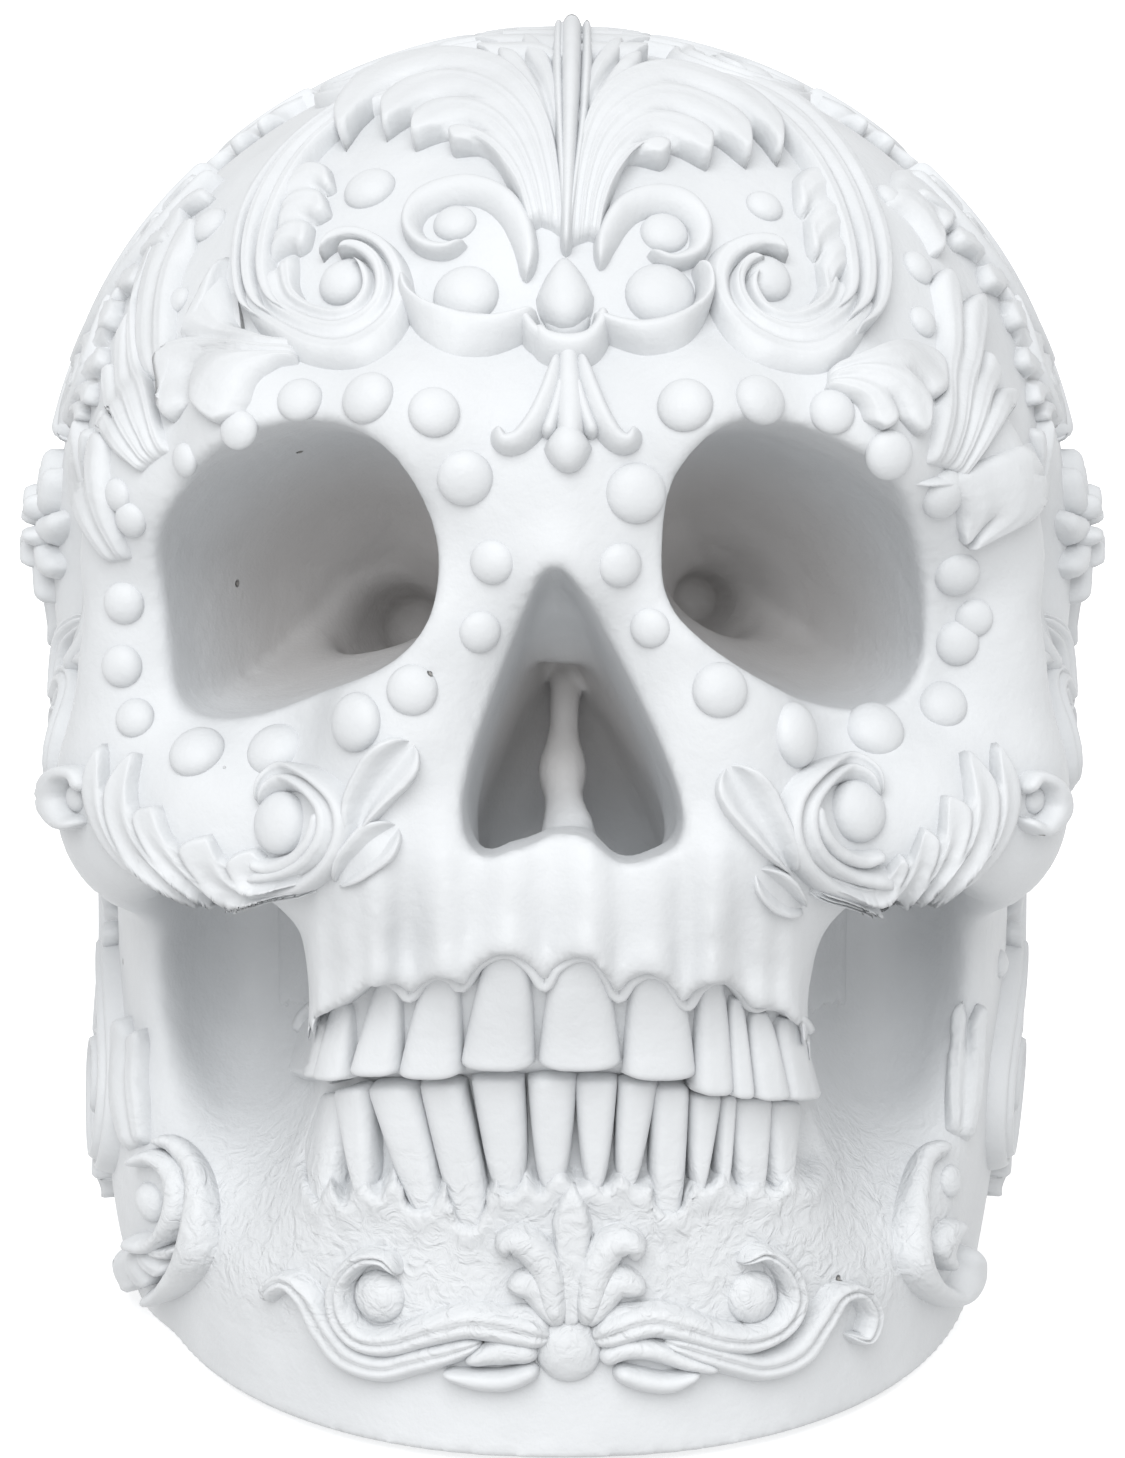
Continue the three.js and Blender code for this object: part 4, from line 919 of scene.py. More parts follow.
# %% Forehead leaves
FOREHEAD_LEAVES = (
    # left hood, and the rolled rim under it
    (3.0, 0.12, (
        ((562, 240), (557, 190), (548, 145), (532, 112), (508, 88), (476, 76), (440, 73), (404, 80),
         (372, 98), (350, 128), (342, 154)),
        ((552, 232), (545, 190), (532, 150), (512, 122), (484, 103), (452, 96), (420, 104), (396, 124),
         (384, 142)),
        ((542, 228), (532, 190), (516, 158), (495, 136), (470, 126), (446, 126), (426, 138),
         (412, 152)),
        ((533, 232), (521, 196), (504, 172), (486, 156), (468, 150), (452, 158)),
    )),
    # right hood
    (3.0, 0.12, (
        ((570, 250), (575, 195), (584, 150), (600, 116), (630, 94), (668, 86), (708, 95), (742, 112),
         (766, 136), (780, 168)),
        ((580, 245), (586, 196), (598, 156), (618, 130), (646, 114), (676, 112), (706, 122), (732, 142),
         (750, 170)),
        ((588, 242), (594, 206), (606, 174), (626, 150), (650, 138), (674, 140), (694, 152),
         (710, 172)),
        ((596, 244), (602, 214), (614, 188), (632, 168), (648, 160), (664, 172)),
    )),
    # long leaves from the crown to the volutes
    (2.4, 0.3, (
        ((476, 74), (430, 76), (390, 92), (350, 114), (310, 143), (276, 178), (252, 218), (244, 262),
         (250, 306), (272, 338)),
        ((460, 84), (414, 90), (372, 106), (332, 131), (298, 161), (273, 196), (258, 234), (254, 272),
         (262, 306), (282, 334)),
        ((444, 94), (404, 102), (366, 118), (332, 142), (306, 170), (286, 204), (273, 240), (270, 274),
         (278, 304), (294, 328)),
    )),
    (2.4, 0.3, (
        ((700, 72), (745, 86), (790, 110), (828, 148), (858, 196), (877, 250), (875, 305), (852, 350)),
        ((712, 84), (750, 98), (788, 124), (820, 160), (846, 205), (860, 252), (860, 298), (842, 338)),
        ((722, 98), (755, 112), (786, 140), (810, 172), (830, 212), (842, 252), (844, 292), (830, 326)),
    )),
    # their inner lobes
    (2.2, 0.3, (
        ((286, 196), (304, 184), (322, 180), (338, 190)),
        ((280, 226), (298, 212), (316, 208), (334, 216)),
        ((274, 256), (288, 244), (302, 240), (314, 248)),
    )),
    (2.2, 0.3, (
        ((836, 190), (820, 186), (804, 192), (792, 208)),
        ((844, 226), (828, 224), (814, 232), (804, 250)),
        ((848, 262), (834, 264), (824, 276), (818, 296)),
    )),
    # big volutes
    (2.5, 0.3, (
        ((250, 290), (268, 326), (302, 352), (342, 360), (374, 350), (397, 326), (405, 296), (399, 268),
         (382, 249), (358, 241), (336, 247), (322, 264)),
        ((270, 275), (282, 312), (308, 334), (338, 341), (364, 332), (382, 313), (388, 292), (384, 270),
         (371, 257), (354, 253), (340, 260)),
        ((290, 262), (298, 298), (318, 318), (340, 323), (358, 315), (369, 300), (371, 286), (365, 272),
         (356, 264)),
    )),
    (2.5, 0.3, (
        ((866, 300), (850, 338), (824, 360), (786, 362), (750, 348), (726, 322), (715, 292), (720, 266),
         (742, 251), (768, 250), (788, 264)),
        ((846, 288), (834, 320), (810, 341), (782, 342), (754, 328), (738, 305), (733, 283), (742, 268),
         (762, 265)),
        ((828, 276), (820, 304), (800, 322), (778, 325), (761, 315), (751, 299), (749, 286),
         (755, 275)),
    )),
    # crest over the hoods
    (2.2, 0.3, (
        ((562, 170), (556, 120), (545, 76), (524, 44)),
        ((557, 175), (544, 128), (526, 90), (500, 58)),
    )),
    (2.2, 0.3, (
        ((574, 170), (582, 120), (597, 78), (622, 48)),
        ((579, 176), (592, 130), (612, 94), (640, 62)),
    )),
)
for height, groove, strokes in FOREHEAD_LEAVES:
    fan("forehead_scrolls", strokes, height, groove=groove)
print("leaves on the forehead:", len(FOREHEAD_LEAVES))

# %% [markdown]
# The spine, the small volutes, the cups under them and the pendant are bands. A tilt lifts one edge
# of a band, so that a cup turns its lip to the viewer.

# %% Forehead bands
FOREHEAD_BANDS = (
    (3.4, 0.0, ((572, 8), (571, 60), (570, 120), (568, 190), (566, 258)), (13, 13, 11, 9, 6)),
    (2.8, 0.0, ((559, 30), (558, 80), (560, 140), (563, 200), (565, 250)), (6, 7, 6, 5, 3)),
    (2.8, 0.0, ((586, 30), (586, 80), (582, 140), (574, 200), (568, 250)), (6, 7, 6, 5, 3)),
    # small volutes and their stalks
    (2.2, 0.35, ((526, 284), (527, 256), (518, 226), (500, 205), (474, 195), (446, 198), (422, 210),
     (413, 230), (424, 248), (447, 254), (468, 246)), (6, 12, 15, 15, 13, 12, 12, 11, 10, 8, 4)),
    (2.2, -0.35, ((600, 272), (606, 244), (624, 216), (652, 205), (682, 210), (699, 230), (696, 254),
     (672, 265), (646, 256)), (6, 13, 15, 14, 13, 12, 11, 8, 4)),
    # cups
    (3.2, -0.45, ((406, 280), (411, 306), (428, 328), (456, 341), (488, 342), (516, 334), (540, 322)),
     (6, 10, 13, 15, 15, 13, 9)),
    (3.2, 0.45, ((592, 322), (615, 334), (648, 341), (680, 334), (699, 312), (702, 288), (692, 270)),
     (9, 13, 15, 14, 11, 8, 5)),
    # trefoil and pendant
    (3.4, 0.0, ((536, 336), (545, 352), (566, 358), (588, 354), (600, 338), (602, 316)),
     (9, 12, 13, 13, 11, 8)),
    (3.2, 0.0, ((522, 322), (534, 344), (550, 354)), (8, 10, 8)),
    (3.0, 0.0, ((564, 262), (565, 300), (567, 336)), (14, 30, 27)),
    (2.6, 0.0, ((568, 345), (569, 380), (570, 420), (570, 450)), (13, 15, 18, 14)),
    (2.4, 0.3, ((560, 362), (551, 396), (537, 424), (520, 442), (503, 444), (494, 428)),
     (7, 12, 13, 13, 12, 7)),
    (2.4, -0.3, ((578, 362), (589, 396), (602, 424), (617, 442), (631, 443), (638, 428)),
     (7, 12, 13, 13, 12, 7)),
    (2.2, 0.0, ((562, 385), (556, 412), (546, 440)), (6, 9, 9)),
    (2.2, 0.0, ((576, 385), (583, 412), (594, 440)), (6, 9, 9)),
    (3.0, 0.0, ((568, 424), (568, 450), (569, 474)), (17, 25, 19)),
)
for height, tilt, points, widths in FOREHEAD_BANDS:
    band("forehead_scrolls", points, widths, height, tilt=tilt)
print("bands on the forehead:", len(FOREHEAD_BANDS))

# %% [markdown]
# ## Temples
#
# At the edge of the view the carving turns round the head: leaves spread from behind each volute, and
# long plumes climb the temples. Rays that just pass the head land on its nearest point.

# %% Temples
TEMPLE_LEAVES = (
    (2.2, (
        ((300, 350), (262, 350), (226, 334), (206, 308), (224, 286)),
        ((302, 356), (262, 358), (226, 354), (192, 352), (164, 366), (170, 424)),
        ((300, 362), (266, 366), (238, 374), (222, 394), (218, 426)),
    )),
    (2.0, (
        ((154, 382), (150, 340), (156, 290), (170, 245), (196, 200)),
        ((166, 382), (168, 340), (172, 296), (182, 258), (204, 222)),
    )),
    (2.0, (
        ((166, 455), (152, 405), (143, 355), (143, 305), (158, 262), (176, 226)),
        ((158, 460), (138, 415), (130, 368), (132, 326)),
        ((152, 464), (128, 428), (117, 396), (116, 366)),
        ((146, 470), (122, 444), (109, 420)),
    )),
    (2.0, (
        ((128, 560), (110, 515), (102, 470), (108, 432)),
        ((116, 562), (94, 520), (84, 482), (86, 446)),
    )),
    (2.2, (
        ((826, 376), (862, 366), (896, 358), (924, 368), (940, 396)),
        ((826, 382), (862, 378), (892, 388), (912, 408), (918, 438)),
        ((824, 388), (850, 392), (872, 404), (884, 432)),
    )),
    (2.0, (
        ((930, 466), (940, 420), (944, 380), (946, 325), (938, 268)),
        ((940, 468), (955, 425), (964, 380), (970, 335), (974, 292)),
        ((948, 472), (968, 432), (980, 398), (986, 362)),
        ((954, 478), (980, 442), (996, 414), (1004, 388)),
    )),
    (2.0, (
        ((890, 178), (912, 188), (932, 206), (946, 232)),
        ((886, 196), (906, 208), (924, 228), (938, 256)),
    )),
    (2.0, (
        ((940, 474), (962, 486), (970, 510), (958, 540)),
        ((1004, 450), (1020, 480), (1012, 514), (962, 545)),
    )),
)
for height, strokes in TEMPLE_LEAVES:
    fan("temple_leaves", strokes, height, groove=0.25)
print("leaves at the temples:", len(TEMPLE_LEAVES))

# %% [markdown]
# ## Cheek scrolls
#
# On each cheekbone an acanthus leaf sweeps along the bone, rolls up round a big bead below the socket,
# and sends two spoon-shaped leaves towards the nose. A hollow in the middle of a band makes the spoon.

# %% Cheeks
CHEEK_LEAVES = (
    (2.3, (
        ((322, 889), (262, 891), (208, 883), (164, 871), (132, 853), (110, 824), (100, 786),
         (104, 742)),
        ((320, 886), (262, 887), (212, 878), (172, 864), (143, 842), (127, 810), (129, 776),
         (142, 748)),
        ((318, 885), (265, 888), (222, 881), (188, 865), (165, 844), (154, 824), (158, 802)),
        ((316, 880), (270, 884), (238, 878), (214, 866), (204, 850), (208, 832)),
        ((312, 872), (284, 876), (264, 872), (252, 862), (254, 846)),
    )),
    (2.3, (
        ((808, 894), (866, 899), (914, 890), (956, 871), (988, 840), (1002, 798), (994, 742)),
        ((808, 891), (866, 895), (910, 884), (946, 863), (970, 832), (975, 790), (960, 748)),
        ((810, 889), (866, 893), (906, 880), (936, 860), (949, 830), (942, 792)),
        ((814, 884), (862, 892), (896, 880), (918, 858), (922, 824)),
        ((820, 876), (856, 882), (884, 872), (898, 852)),
    )),
)
CHEEK_BANDS = (
    (2.7, 2, 0.0, ((246, 876), (290, 877), (321, 864), (339, 838), (338, 808), (320, 786), (296, 778),
     (272, 788), (260, 806)), (14, 19, 21, 20, 19, 18, 16, 13, 9)),
    (2.4, 1, 0.0, ((328, 812), (321, 838), (303, 857), (278, 864), (254, 858)), (5, 7, 9, 8, 5)),
    (2.7, 2, 0.0, ((898, 880), (846, 880), (813, 865), (795, 838), (796, 804), (814, 780), (840, 770),
     (866, 778), (880, 798)), (14, 19, 21, 20, 19, 18, 16, 13, 9)),
    (2.4, 1, 0.0, ((806, 806), (813, 832), (831, 851), (856, 858), (882, 852)), (5, 7, 9, 8, 5)),
    (6.0, 1, 0.95, ((356, 842), (368, 806), (388, 772), (412, 742)), (7, 19, 27, 25)),
    (5.6, 1, 0.95, ((340, 882), (358, 862), (377, 845), (398, 826)), (8, 19, 24, 19)),
    (6.0, 1, 0.95, ((790, 872), (770, 840), (748, 804), (728, 766)), (7, 19, 27, 25)),
    (5.6, 1, 0.95, ((802, 906), (781, 893), (756, 870)), (8, 20, 19)),
    (2.6, 1, 0.0, ((88, 822), (70, 818), (58, 798), (66, 776), (84, 774), (92, 792)),
     (6, 9, 10, 9, 8, 6)),
    (2.6, 1, 0.0, ((1016, 818), (1034, 826), (1050, 808), (1046, 786), (1028, 778), (1016, 794)),
     (6, 9, 10, 9, 8, 6)),
)
for height, strokes in CHEEK_LEAVES:
    fan("cheek_scrolls", strokes, height, groove=-0.5, lobe=0.18, curl=0.1, veins=1)
for height, ribs, dish, points, widths in CHEEK_BANDS:
    band("cheek_scrolls", points, widths, height, ribs=ribs, dish=dish, power=3.0)
print("patches on the cheeks:", len(carvings["cheek_scrolls"]))

# %% [markdown]
# ## Chin and jaw sides
#
# A palmette of hooked petals opens above the chin, and from the bead under it an S-scroll runs out to
# each side. At the edges of the jaw a volute with a fan of ribs turns round the corner.

# %% Chin
JAW_BANDS = (
    # S-scrolls, with the volute round a bead, and the leaves under them
    (3.0, 2, ((552, 1336), (512, 1326), (473, 1320), (436, 1328), (396, 1340), (366, 1336), (347, 1312),
     (346, 1280), (366, 1257), (390, 1256), (403, 1274)), (17, 21, 21, 20, 18, 17, 14, 13, 12, 10, 6)),
    (2.6, 2, ((484, 1340), (450, 1351), (418, 1359), (386, 1366), (352, 1354), (330, 1326), (314, 1296),
     (296, 1280), (278, 1288), (274, 1302)), (9, 14, 16, 16, 17, 17, 16, 13, 12, 8)),
    (2.6, 1, ((540, 1352), (502, 1350), (466, 1360)), (12, 16, 8)),
    (2.6, 1, ((540, 1366), (510, 1378), (478, 1378), (444, 1370)), (10, 13, 12, 5)),
    (3.0, 2, ((590, 1338), (620, 1326), (650, 1318), (680, 1324), (714, 1335), (748, 1337), (777, 1322),
     (789, 1294), (780, 1266), (757, 1250), (736, 1262)), (17, 21, 21, 20, 18, 17, 14, 13, 12, 10, 6)),
    (2.6, 2, ((660, 1338), (692, 1348), (724, 1358), (758, 1365), (792, 1352), (814, 1322), (832, 1294),
     (853, 1292), (865, 1312), (857, 1336), (842, 1333)), (9, 14, 16, 16, 17, 17, 14, 12, 10, 9, 6)),
    (2.6, 1, ((598, 1358), (625, 1347), (655, 1349), (686, 1361), (716, 1368)), (12, 13, 13, 10, 5)),
    (2.6, 1, ((612, 1368), (640, 1378), (668, 1381), (698, 1370)), (10, 13, 12, 5)),
    # palmette
    (2.8, 1, ((560, 1325), (552, 1295), (546, 1264), (528, 1243), (509, 1240), (504, 1256)),
     (12, 18, 21, 20, 18, 11)),
    (2.4, 1, ((556, 1326), (548, 1306), (532, 1284), (506, 1285)), (10, 16, 19, 11)),
    (2.0, 1, ((550, 1332), (532, 1318), (502, 1311)), (9, 14, 9)),
    (2.8, 1, ((584, 1325), (590, 1295), (598, 1262), (614, 1241), (632, 1243), (634, 1260)),
     (12, 18, 21, 20, 18, 11)),
    (2.4, 1, ((588, 1326), (600, 1302), (618, 1281), (646, 1290)), (10, 16, 19, 11)),
    (2.0, 1, ((594, 1334), (612, 1318), (642, 1308)), (9, 14, 9)),
    # volutes at the corners
    (3.0, 1, ((134, 1238), (160, 1240), (180, 1224), (187, 1200), (180, 1172), (160, 1157),
     (138, 1164)), (8, 10, 12, 12, 12, 10, 6)),
    (3.0, 1, ((150, 1296), (176, 1286), (197, 1260), (206, 1218), (201, 1176), (180, 1147),
     (158, 1141)), (8, 13, 16, 16, 14, 12, 6)),
    (3.0, 1, ((946, 1146), (922, 1162), (911, 1195), (907, 1232), (911, 1266), (926, 1288), (946, 1294),
     (960, 1276), (962, 1244)), (8, 12, 14, 16, 14, 13, 12, 10, 6)),
    (2.4, 1, ((956, 1220), (942, 1232), (936, 1252), (944, 1270)), (8, 10, 10, 6)),
)
JAW_LEAVES = (
    (2.4, (
        ((128, 1246), (130, 1268), (140, 1290)),
        ((138, 1246), (146, 1266), (158, 1284)),
        ((146, 1244), (160, 1260), (176, 1272)),
        ((152, 1238), (170, 1248), (190, 1250)),
    )),
    (2.2, (
        ((134, 1150), (128, 1110), (126, 1062), (130, 1014)),
        ((146, 1146), (144, 1108), (142, 1066), (146, 1026)),
    )),
    (2.2, (
        ((950, 1134), (952, 1090), (958, 1040), (962, 1000)),
        ((962, 1140), (967, 1094), (972, 1044), (975, 1002)),
    )),
)
PISTIL = ((571, 1330), (571, 1290), (572, 1250), (572, 1216), (572, 1184))
PISTIL_WIDTHS = (9, 13, 18, 21, 8)
for height, strokes in JAW_LEAVES:
    fan("jaw_scrolls", strokes, height)
for height, ribs, points, widths in JAW_BANDS:
    band("jaw_scrolls", points, widths, height, ribs=ribs, groove=0.25)
band("jaw_scrolls", PISTIL, PISTIL_WIDTHS, 2.8, dish=0.35, power=3.0)
print("patches on the jaw's front:", len(carvings["jaw_scrolls"]))

# %% [markdown]
# ## Sides, crown and back
#
# The photograph shows only the front, so the rest repeats its motifs: volutes round a bead, acanthus
# plumes and palmettes, laid out alike on both sides. They are drawn in millimetres, each on the chart
# that faces the place it covers. A volute is a band of three ribs along a spiral that closes in.

# %% Motifs
MOTIF_HEIGHT = 2.2
VOLUTE_POINTS, VOLUTE_CLOSING = 12, 0.6
VOLUTE_WIDTHS = (0.5, 1, 1, 0.9, 0.8, 0.6, 0.4)
side_beads = []


def side_bead(rays, place, radius):
    """Remember a bead under a place of a chart, for the cell that makes them."""
    side_beads.append((*land_on(rays, place), radius))


def volute(piece, rays, centre, radius, start, turns, width, tail=(), height=MOTIF_HEIGHT, bead=0.34):
    """A band that comes along a tail and rolls in round a bead."""
    t = np.linspace(0, 1, VOLUTE_POINTS)
    angle = math.radians(start) + turns * 2 * math.pi * t
    reach = radius * (1 - VOLUTE_CLOSING * t)
    spiral = np.array(centre) + np.stack([np.cos(angle), np.sin(angle)], 1) * reach[:, None]
    widths = np.array(VOLUTE_WIDTHS) * width
    band(piece, [*tail, *spiral], widths, height, ribs=3, groove=0.4, rays=rays, detail=SIDE)
    side_bead(rays, centre, radius * bead)


print("motifs stand", MOTIF_HEIGHT, "mm proud of the bone")

# %% [markdown]
# A plume is an acanthus leaf in profile: a middle rib, and on each side a sheet of lobes that start
# one after another along the rib, bend away from it and get shorter towards its tip.

# %% Plumes
LOBE_LEAD, LAST_LOBE = 0.6, 0.85
LOBE_SHORTENING = 0.5
FIRST_LOBE, LOBE_GROWTH = 0.7, 3
LOBE_BEND, LOBE_TIP = (0.5, 0.35), (0.8, 0.95)
MIDRIB_WIDTHS = (0.7, 1.0, 0.9, 0.45)
MIDRIB_RISE = 1.15


def plume_strokes(spine, fingers, reach, width, side):
    """The strokes of one side of a plume, each from the root along the rib and out to a lobe."""
    line, _, _ = evenly(spine, 0.5)
    strokes = []
    for k in range(fingers):
        share = (k + LOBE_LEAD) / fingers
        i = max(2, int(share * LAST_LOBE * (len(line) - 1)))
        forward = line[i] - line[i - 2]
        forward /= np.linalg.norm(forward)
        out = np.array([-forward[1], forward[0]]) * side
        size = reach * (1 - LOBE_SHORTENING * share)
        size *= FIRST_LOBE + (1 - FIRST_LOBE) * min(1, LOBE_GROWTH * share)
        aside = out * 0.5 * width * (fingers - 1 - k) / fingers
        bend, tip = (line[i] + size * (a * forward + b * out) for a, b in (LOBE_BEND, LOBE_TIP))
        strokes.append((line[0] + aside, line[i // 2] + aside, line[i] + aside, bend, tip))
    return strokes


def plume(piece, rays, spine, fingers, reach, width, sides=(1, -1), height=MOTIF_HEIGHT):
    """An acanthus leaf: a middle rib, and on each side a sheet whose lobes shorten to the tip."""
    for side in sides:
        strokes = plume_strokes(spine, fingers, reach, width, side)
        fan(piece, strokes, height, groove=0.35, lobe=0.2, rays=rays, detail=SIDE)
    widths = [share * width for share in MIDRIB_WIDTHS]
    band(piece, spine, widths, height * MIDRIB_RISE, rays=rays, detail=SIDE)


print("a plume's last lobes have", 1 - LOBE_SHORTENING, "of its full reach")

# %% [markdown]
# A palmette is a fan of petals over a bead, for the back of the head, and a rosette is a ring of
# petals round a boss, which makes the shell over each ear.

# %% Palmettes and rosettes
OUTER_PETAL_LOSS, PETAL_HOOK = 0.25, 0.16
PETAL_PLACES = (0.5, 0.9)
PETAL_WIDTHS = (0.5, 0.9, 1.15, 0.7)
PETAL_DISH = 0.25
PALMETTE_BEAD, ROSETTE_BEAD = 1.25, 0.36
ROSETTE_PLACES, ROSETTE_TWIST = (0.2, 0.62), 0.12
ROSETTE_WIDTHS = (0.7, 1.1, 0.7)


def palmette(piece, rays, base, size, petals, spread, width, height=MOTIF_HEIGHT):
    """A fan of petals that hook outwards, with a bead at its foot."""
    base, middle = np.array(base), (petals - 1) / 2
    for k in range(petals):
        lean = (k - middle) / middle
        angle = math.radians(90 - spread * lean)
        along = np.array([math.cos(angle), math.sin(angle)])
        hook = np.array([math.copysign(1, lean), 0.0]) * (k != middle)
        reach = size * (1 - OUTER_PETAL_LOSS * abs(lean))
        stem = [base + along * reach * share for share in PETAL_PLACES]
        points = (base, *stem, base + along * reach + hook * size * PETAL_HOOK)
        widths = [share * width for share in PETAL_WIDTHS]
        band(piece, points, widths, height, dish=PETAL_DISH, rays=rays, detail=SIDE)
    side_bead(rays, base, width * PALMETTE_BEAD)


def rosette(piece, rays, centre, size, petals, width, height):
    """Ribbed petals all round a boss."""
    centre = np.array(centre)
    for k in range(petals):
        angle = 2 * math.pi * k / petals
        along = np.array([math.cos(angle), math.sin(angle)])
        bend = np.array([-along[1], along[0]]) * size * ROSETTE_TWIST
        inner, middle = (centre + along * size * share for share in ROSETTE_PLACES)
        widths = [share * width for share in ROSETTE_WIDTHS]
        band(piece, (inner, middle + bend, centre + along * size), widths, height, rays=rays, detail=SIDE)
    side_bead(rays, centre, size * ROSETTE_BEAD)


print("a palmette's outer petals have", 1 - OUTER_PETAL_LOSS, "of the length of its middle one")

# %% [markdown]
# Each side of the head is laid out once, and the other side mirrors it. A big volute behind the
# temple leads, smaller ones turn above it, behind it and at the nape, and plumes fill what is between.

# %% Sides
for side in (1, -1):
    scrolls = "right_side_scrolls" if side > 0 else "left_side_scrolls"

    def chart(azimuth, elevation):
        return side_rays(side * azimuth, elevation, flip=side < 0)

    ear = chart(80, 4)
    rosette("ear_shells", ear, (0.0, 1.0), 10.0, 9, 2.1, 2.6)
    rosette("ear_shells", ear, (0.0, 1.0), 5.5, 6, 1.5, 4.0)
    plume("ear_shells", ear, ((8, -6), (14, -13), (15, -25)), 5, 10.0, 2.0, height=2.0)
    plume("ear_shells", ear, ((0, 12), (3, 20), (11, 28)), 5, 10.0, 2.0, height=2.0)

    temple = chart(58, 6)
    plume("temple_leaves", temple, ((8, -16), (1, -8), (-2, 4), (2, 16)), 6, 10.0, 2.0, height=1.9)
    plume("temple_leaves", temple, ((10, 14), (4, 22), (6, 32)), 5, 9.0, 1.8, height=1.9)
    volute(scrolls, chart(64, -14), (0, 0), 6.5, 30, 1.2, 2.4, tail=((-2, 14), (5, 10)))
    plume(scrolls, chart(66, 34), ((12, -12), (2, -6), (-6, 4), (-8, 15)), 6, 11.0, 2.0)

    behind = chart(122, 6)
    volute(scrolls, behind, (0, 2), 15.0, 200, 1.35, 3.8, tail=((-20, -24), (-20, -8)))
    plume(scrolls, behind, ((-18, -16), (-2, -22), (15, -17), (24, -2)), 7, 13.0, 2.2, sides=(-1,))
    plume(scrolls, behind, ((-10, 19), (4, 23), (18, 19), (27, 8)), 6, 13.0, 2.2, sides=(1,))

    above = chart(98, 38)
    volute(scrolls, above, (0, 0), 12.0, -60, -1.3, 3.4, tail=((26, -14), (16, -15)))
    plume(scrolls, above, ((-2, -14), (-15, -11), (-20, 2), (-16, 15)), 7, 12.0, 2.0, sides=(1,))
    plume(scrolls, above, ((20, -12), (27, -2), (26, 11)), 5, 11.0, 2.0)

    top_side = chart(118, 62)
    volute(scrolls, top_side, (0, 0), 10.0, 90, 1.3, 3.0, tail=((16, 12), (8, 13)))
    plume(scrolls, top_side, ((-11, 2), (-15, -8), (-8, -18)), 5, 10.0, 1.8)

    rear = chart(152, 30)
    volute(scrolls, rear, (0, 0), 13.0, 0, 1.35, 3.4, tail=((14, -24), (16, -10)))
    plume(scrolls, rear, ((14, -8), (20, 4), (15, 18)), 6, 12.0, 2.0, sides=(-1,))
    plume(scrolls, rear, ((-14, -12), (-18, 2), (-12, 16)), 6, 11.0, 2.0, sides=(1,))

    nape = chart(148, -12)
    volute(scrolls, nape, (0, 0), 10.0, 90, -1.3, 3.0, tail=((-14, 10), (-7, 13)))
    plume(scrolls, nape, ((6, -11), (17, -9), (23, 2)), 5, 10.0, 1.8)

    corner = wall_rays(side * 70, 25, flip=side < 0)
    volute("jaw_side_scrolls", corner, (0, 0), 8.5, 120, 1.3, 2.8, tail=((12, 14), (3, 12)), height=2.8)
    plume("jaw_side_scrolls", corner, ((2, -11), (10, -10), (15, -2)), 5, 7.0, 1.6, sides=(-1,))
    hinge = wall_rays(side * 98, 36, flip=side < 0)
    volute("jaw_side_scrolls", hinge, (0, 3), 9.0, 250, 1.3, 2.8, tail=((-16, -16), (-10, -12)))
    plume("jaw_side_scrolls", hinge, ((-12, -10), (-15, 2), (-11, 15)), 5, 9.0, 1.8, sides=(-1, 1))
    plume("jaw_side_scrolls", hinge, ((-6, -14), (6, -16), (16, -8)), 5, 9.0, 1.8, sides=(-1,))
    flank = wall_rays(side * 136, 32, flip=side < 0)
    volute("jaw_side_scrolls", flank, (0, 0), 10.0, 180, 1.3, 3.0, tail=((-15, -15), (-13, -6)))
    plume("jaw_side_scrolls", flank, ((-8, -13), (4, -15), (15, -9), (19, 3)), 6, 10.0, 1.8, sides=(-1,))
    plume("jaw_side_scrolls", flank, ((-6, 13), (6, 15), (16, 10)), 5, 9.0, 1.8, sides=(1,))
print("patches on each side of the head:", len(carvings["left_side_scrolls"]))

# %% [markdown]
# A long plume runs over the crown, with two volutes on each side, and palmettes with a volute on each
# side fill the middle of the back, above and on the jaw's wall.

# %% Crown and back
crown = side_rays(0, 90)
plume("crown_scrolls", crown, ((0, -34), (0, -10), (0, 20), (0, 44)), 8, 15.0, 2.0)
for side in (1, -1):
    over = side_rays(0, 90, flip=side < 0)
    volute("crown_scrolls", over, (24, -16), 9.5, 160, 1.3, 3.0, tail=((5, 4), (9, -10)))
    volute("crown_scrolls", over, (24, 20), 9.5, 200, -1.3, 3.0, tail=((5, 44), (9, 31)))
palmette("crown_scrolls", side_rays(180, 4), (0.0, -12.0), 30.0, 7, 62, 3.6)
palmette("crown_scrolls", side_rays(180, 52), (0.0, -10.0), 22.0, 5, 55, 3.2)
for side in (1, -1):
    low = side_rays(180, 4, flip=side < 0)
    volute("crown_scrolls", low, (22, -12), 7.5, 220, 1.2, 2.6, tail=((3, -14), (9, -20)))
palmette("jaw_side_scrolls", wall_rays(180, 30), (0.0, -12.0), 22.0, 5, 60, 3.0)
for side in (1, -1):
    low = wall_rays(180, 30, flip=side < 0)
    volute("jaw_side_scrolls", low, (17, -8), 6.0, 220, 1.2, 2.2, tail=((2, -13), (8, -15)))
print("beads on the sides, the crown and the back:", len(side_beads))

# %% [markdown]
# ## Teeth
#
# Each tooth is one patch from the gum to the biting edge: narrow at the gum, flat in front, and round
# at its sides. The lower ones taper towards their roots and stand a little behind the upper ones. A
# thin band along the edge of the upper gum is its raised rim.

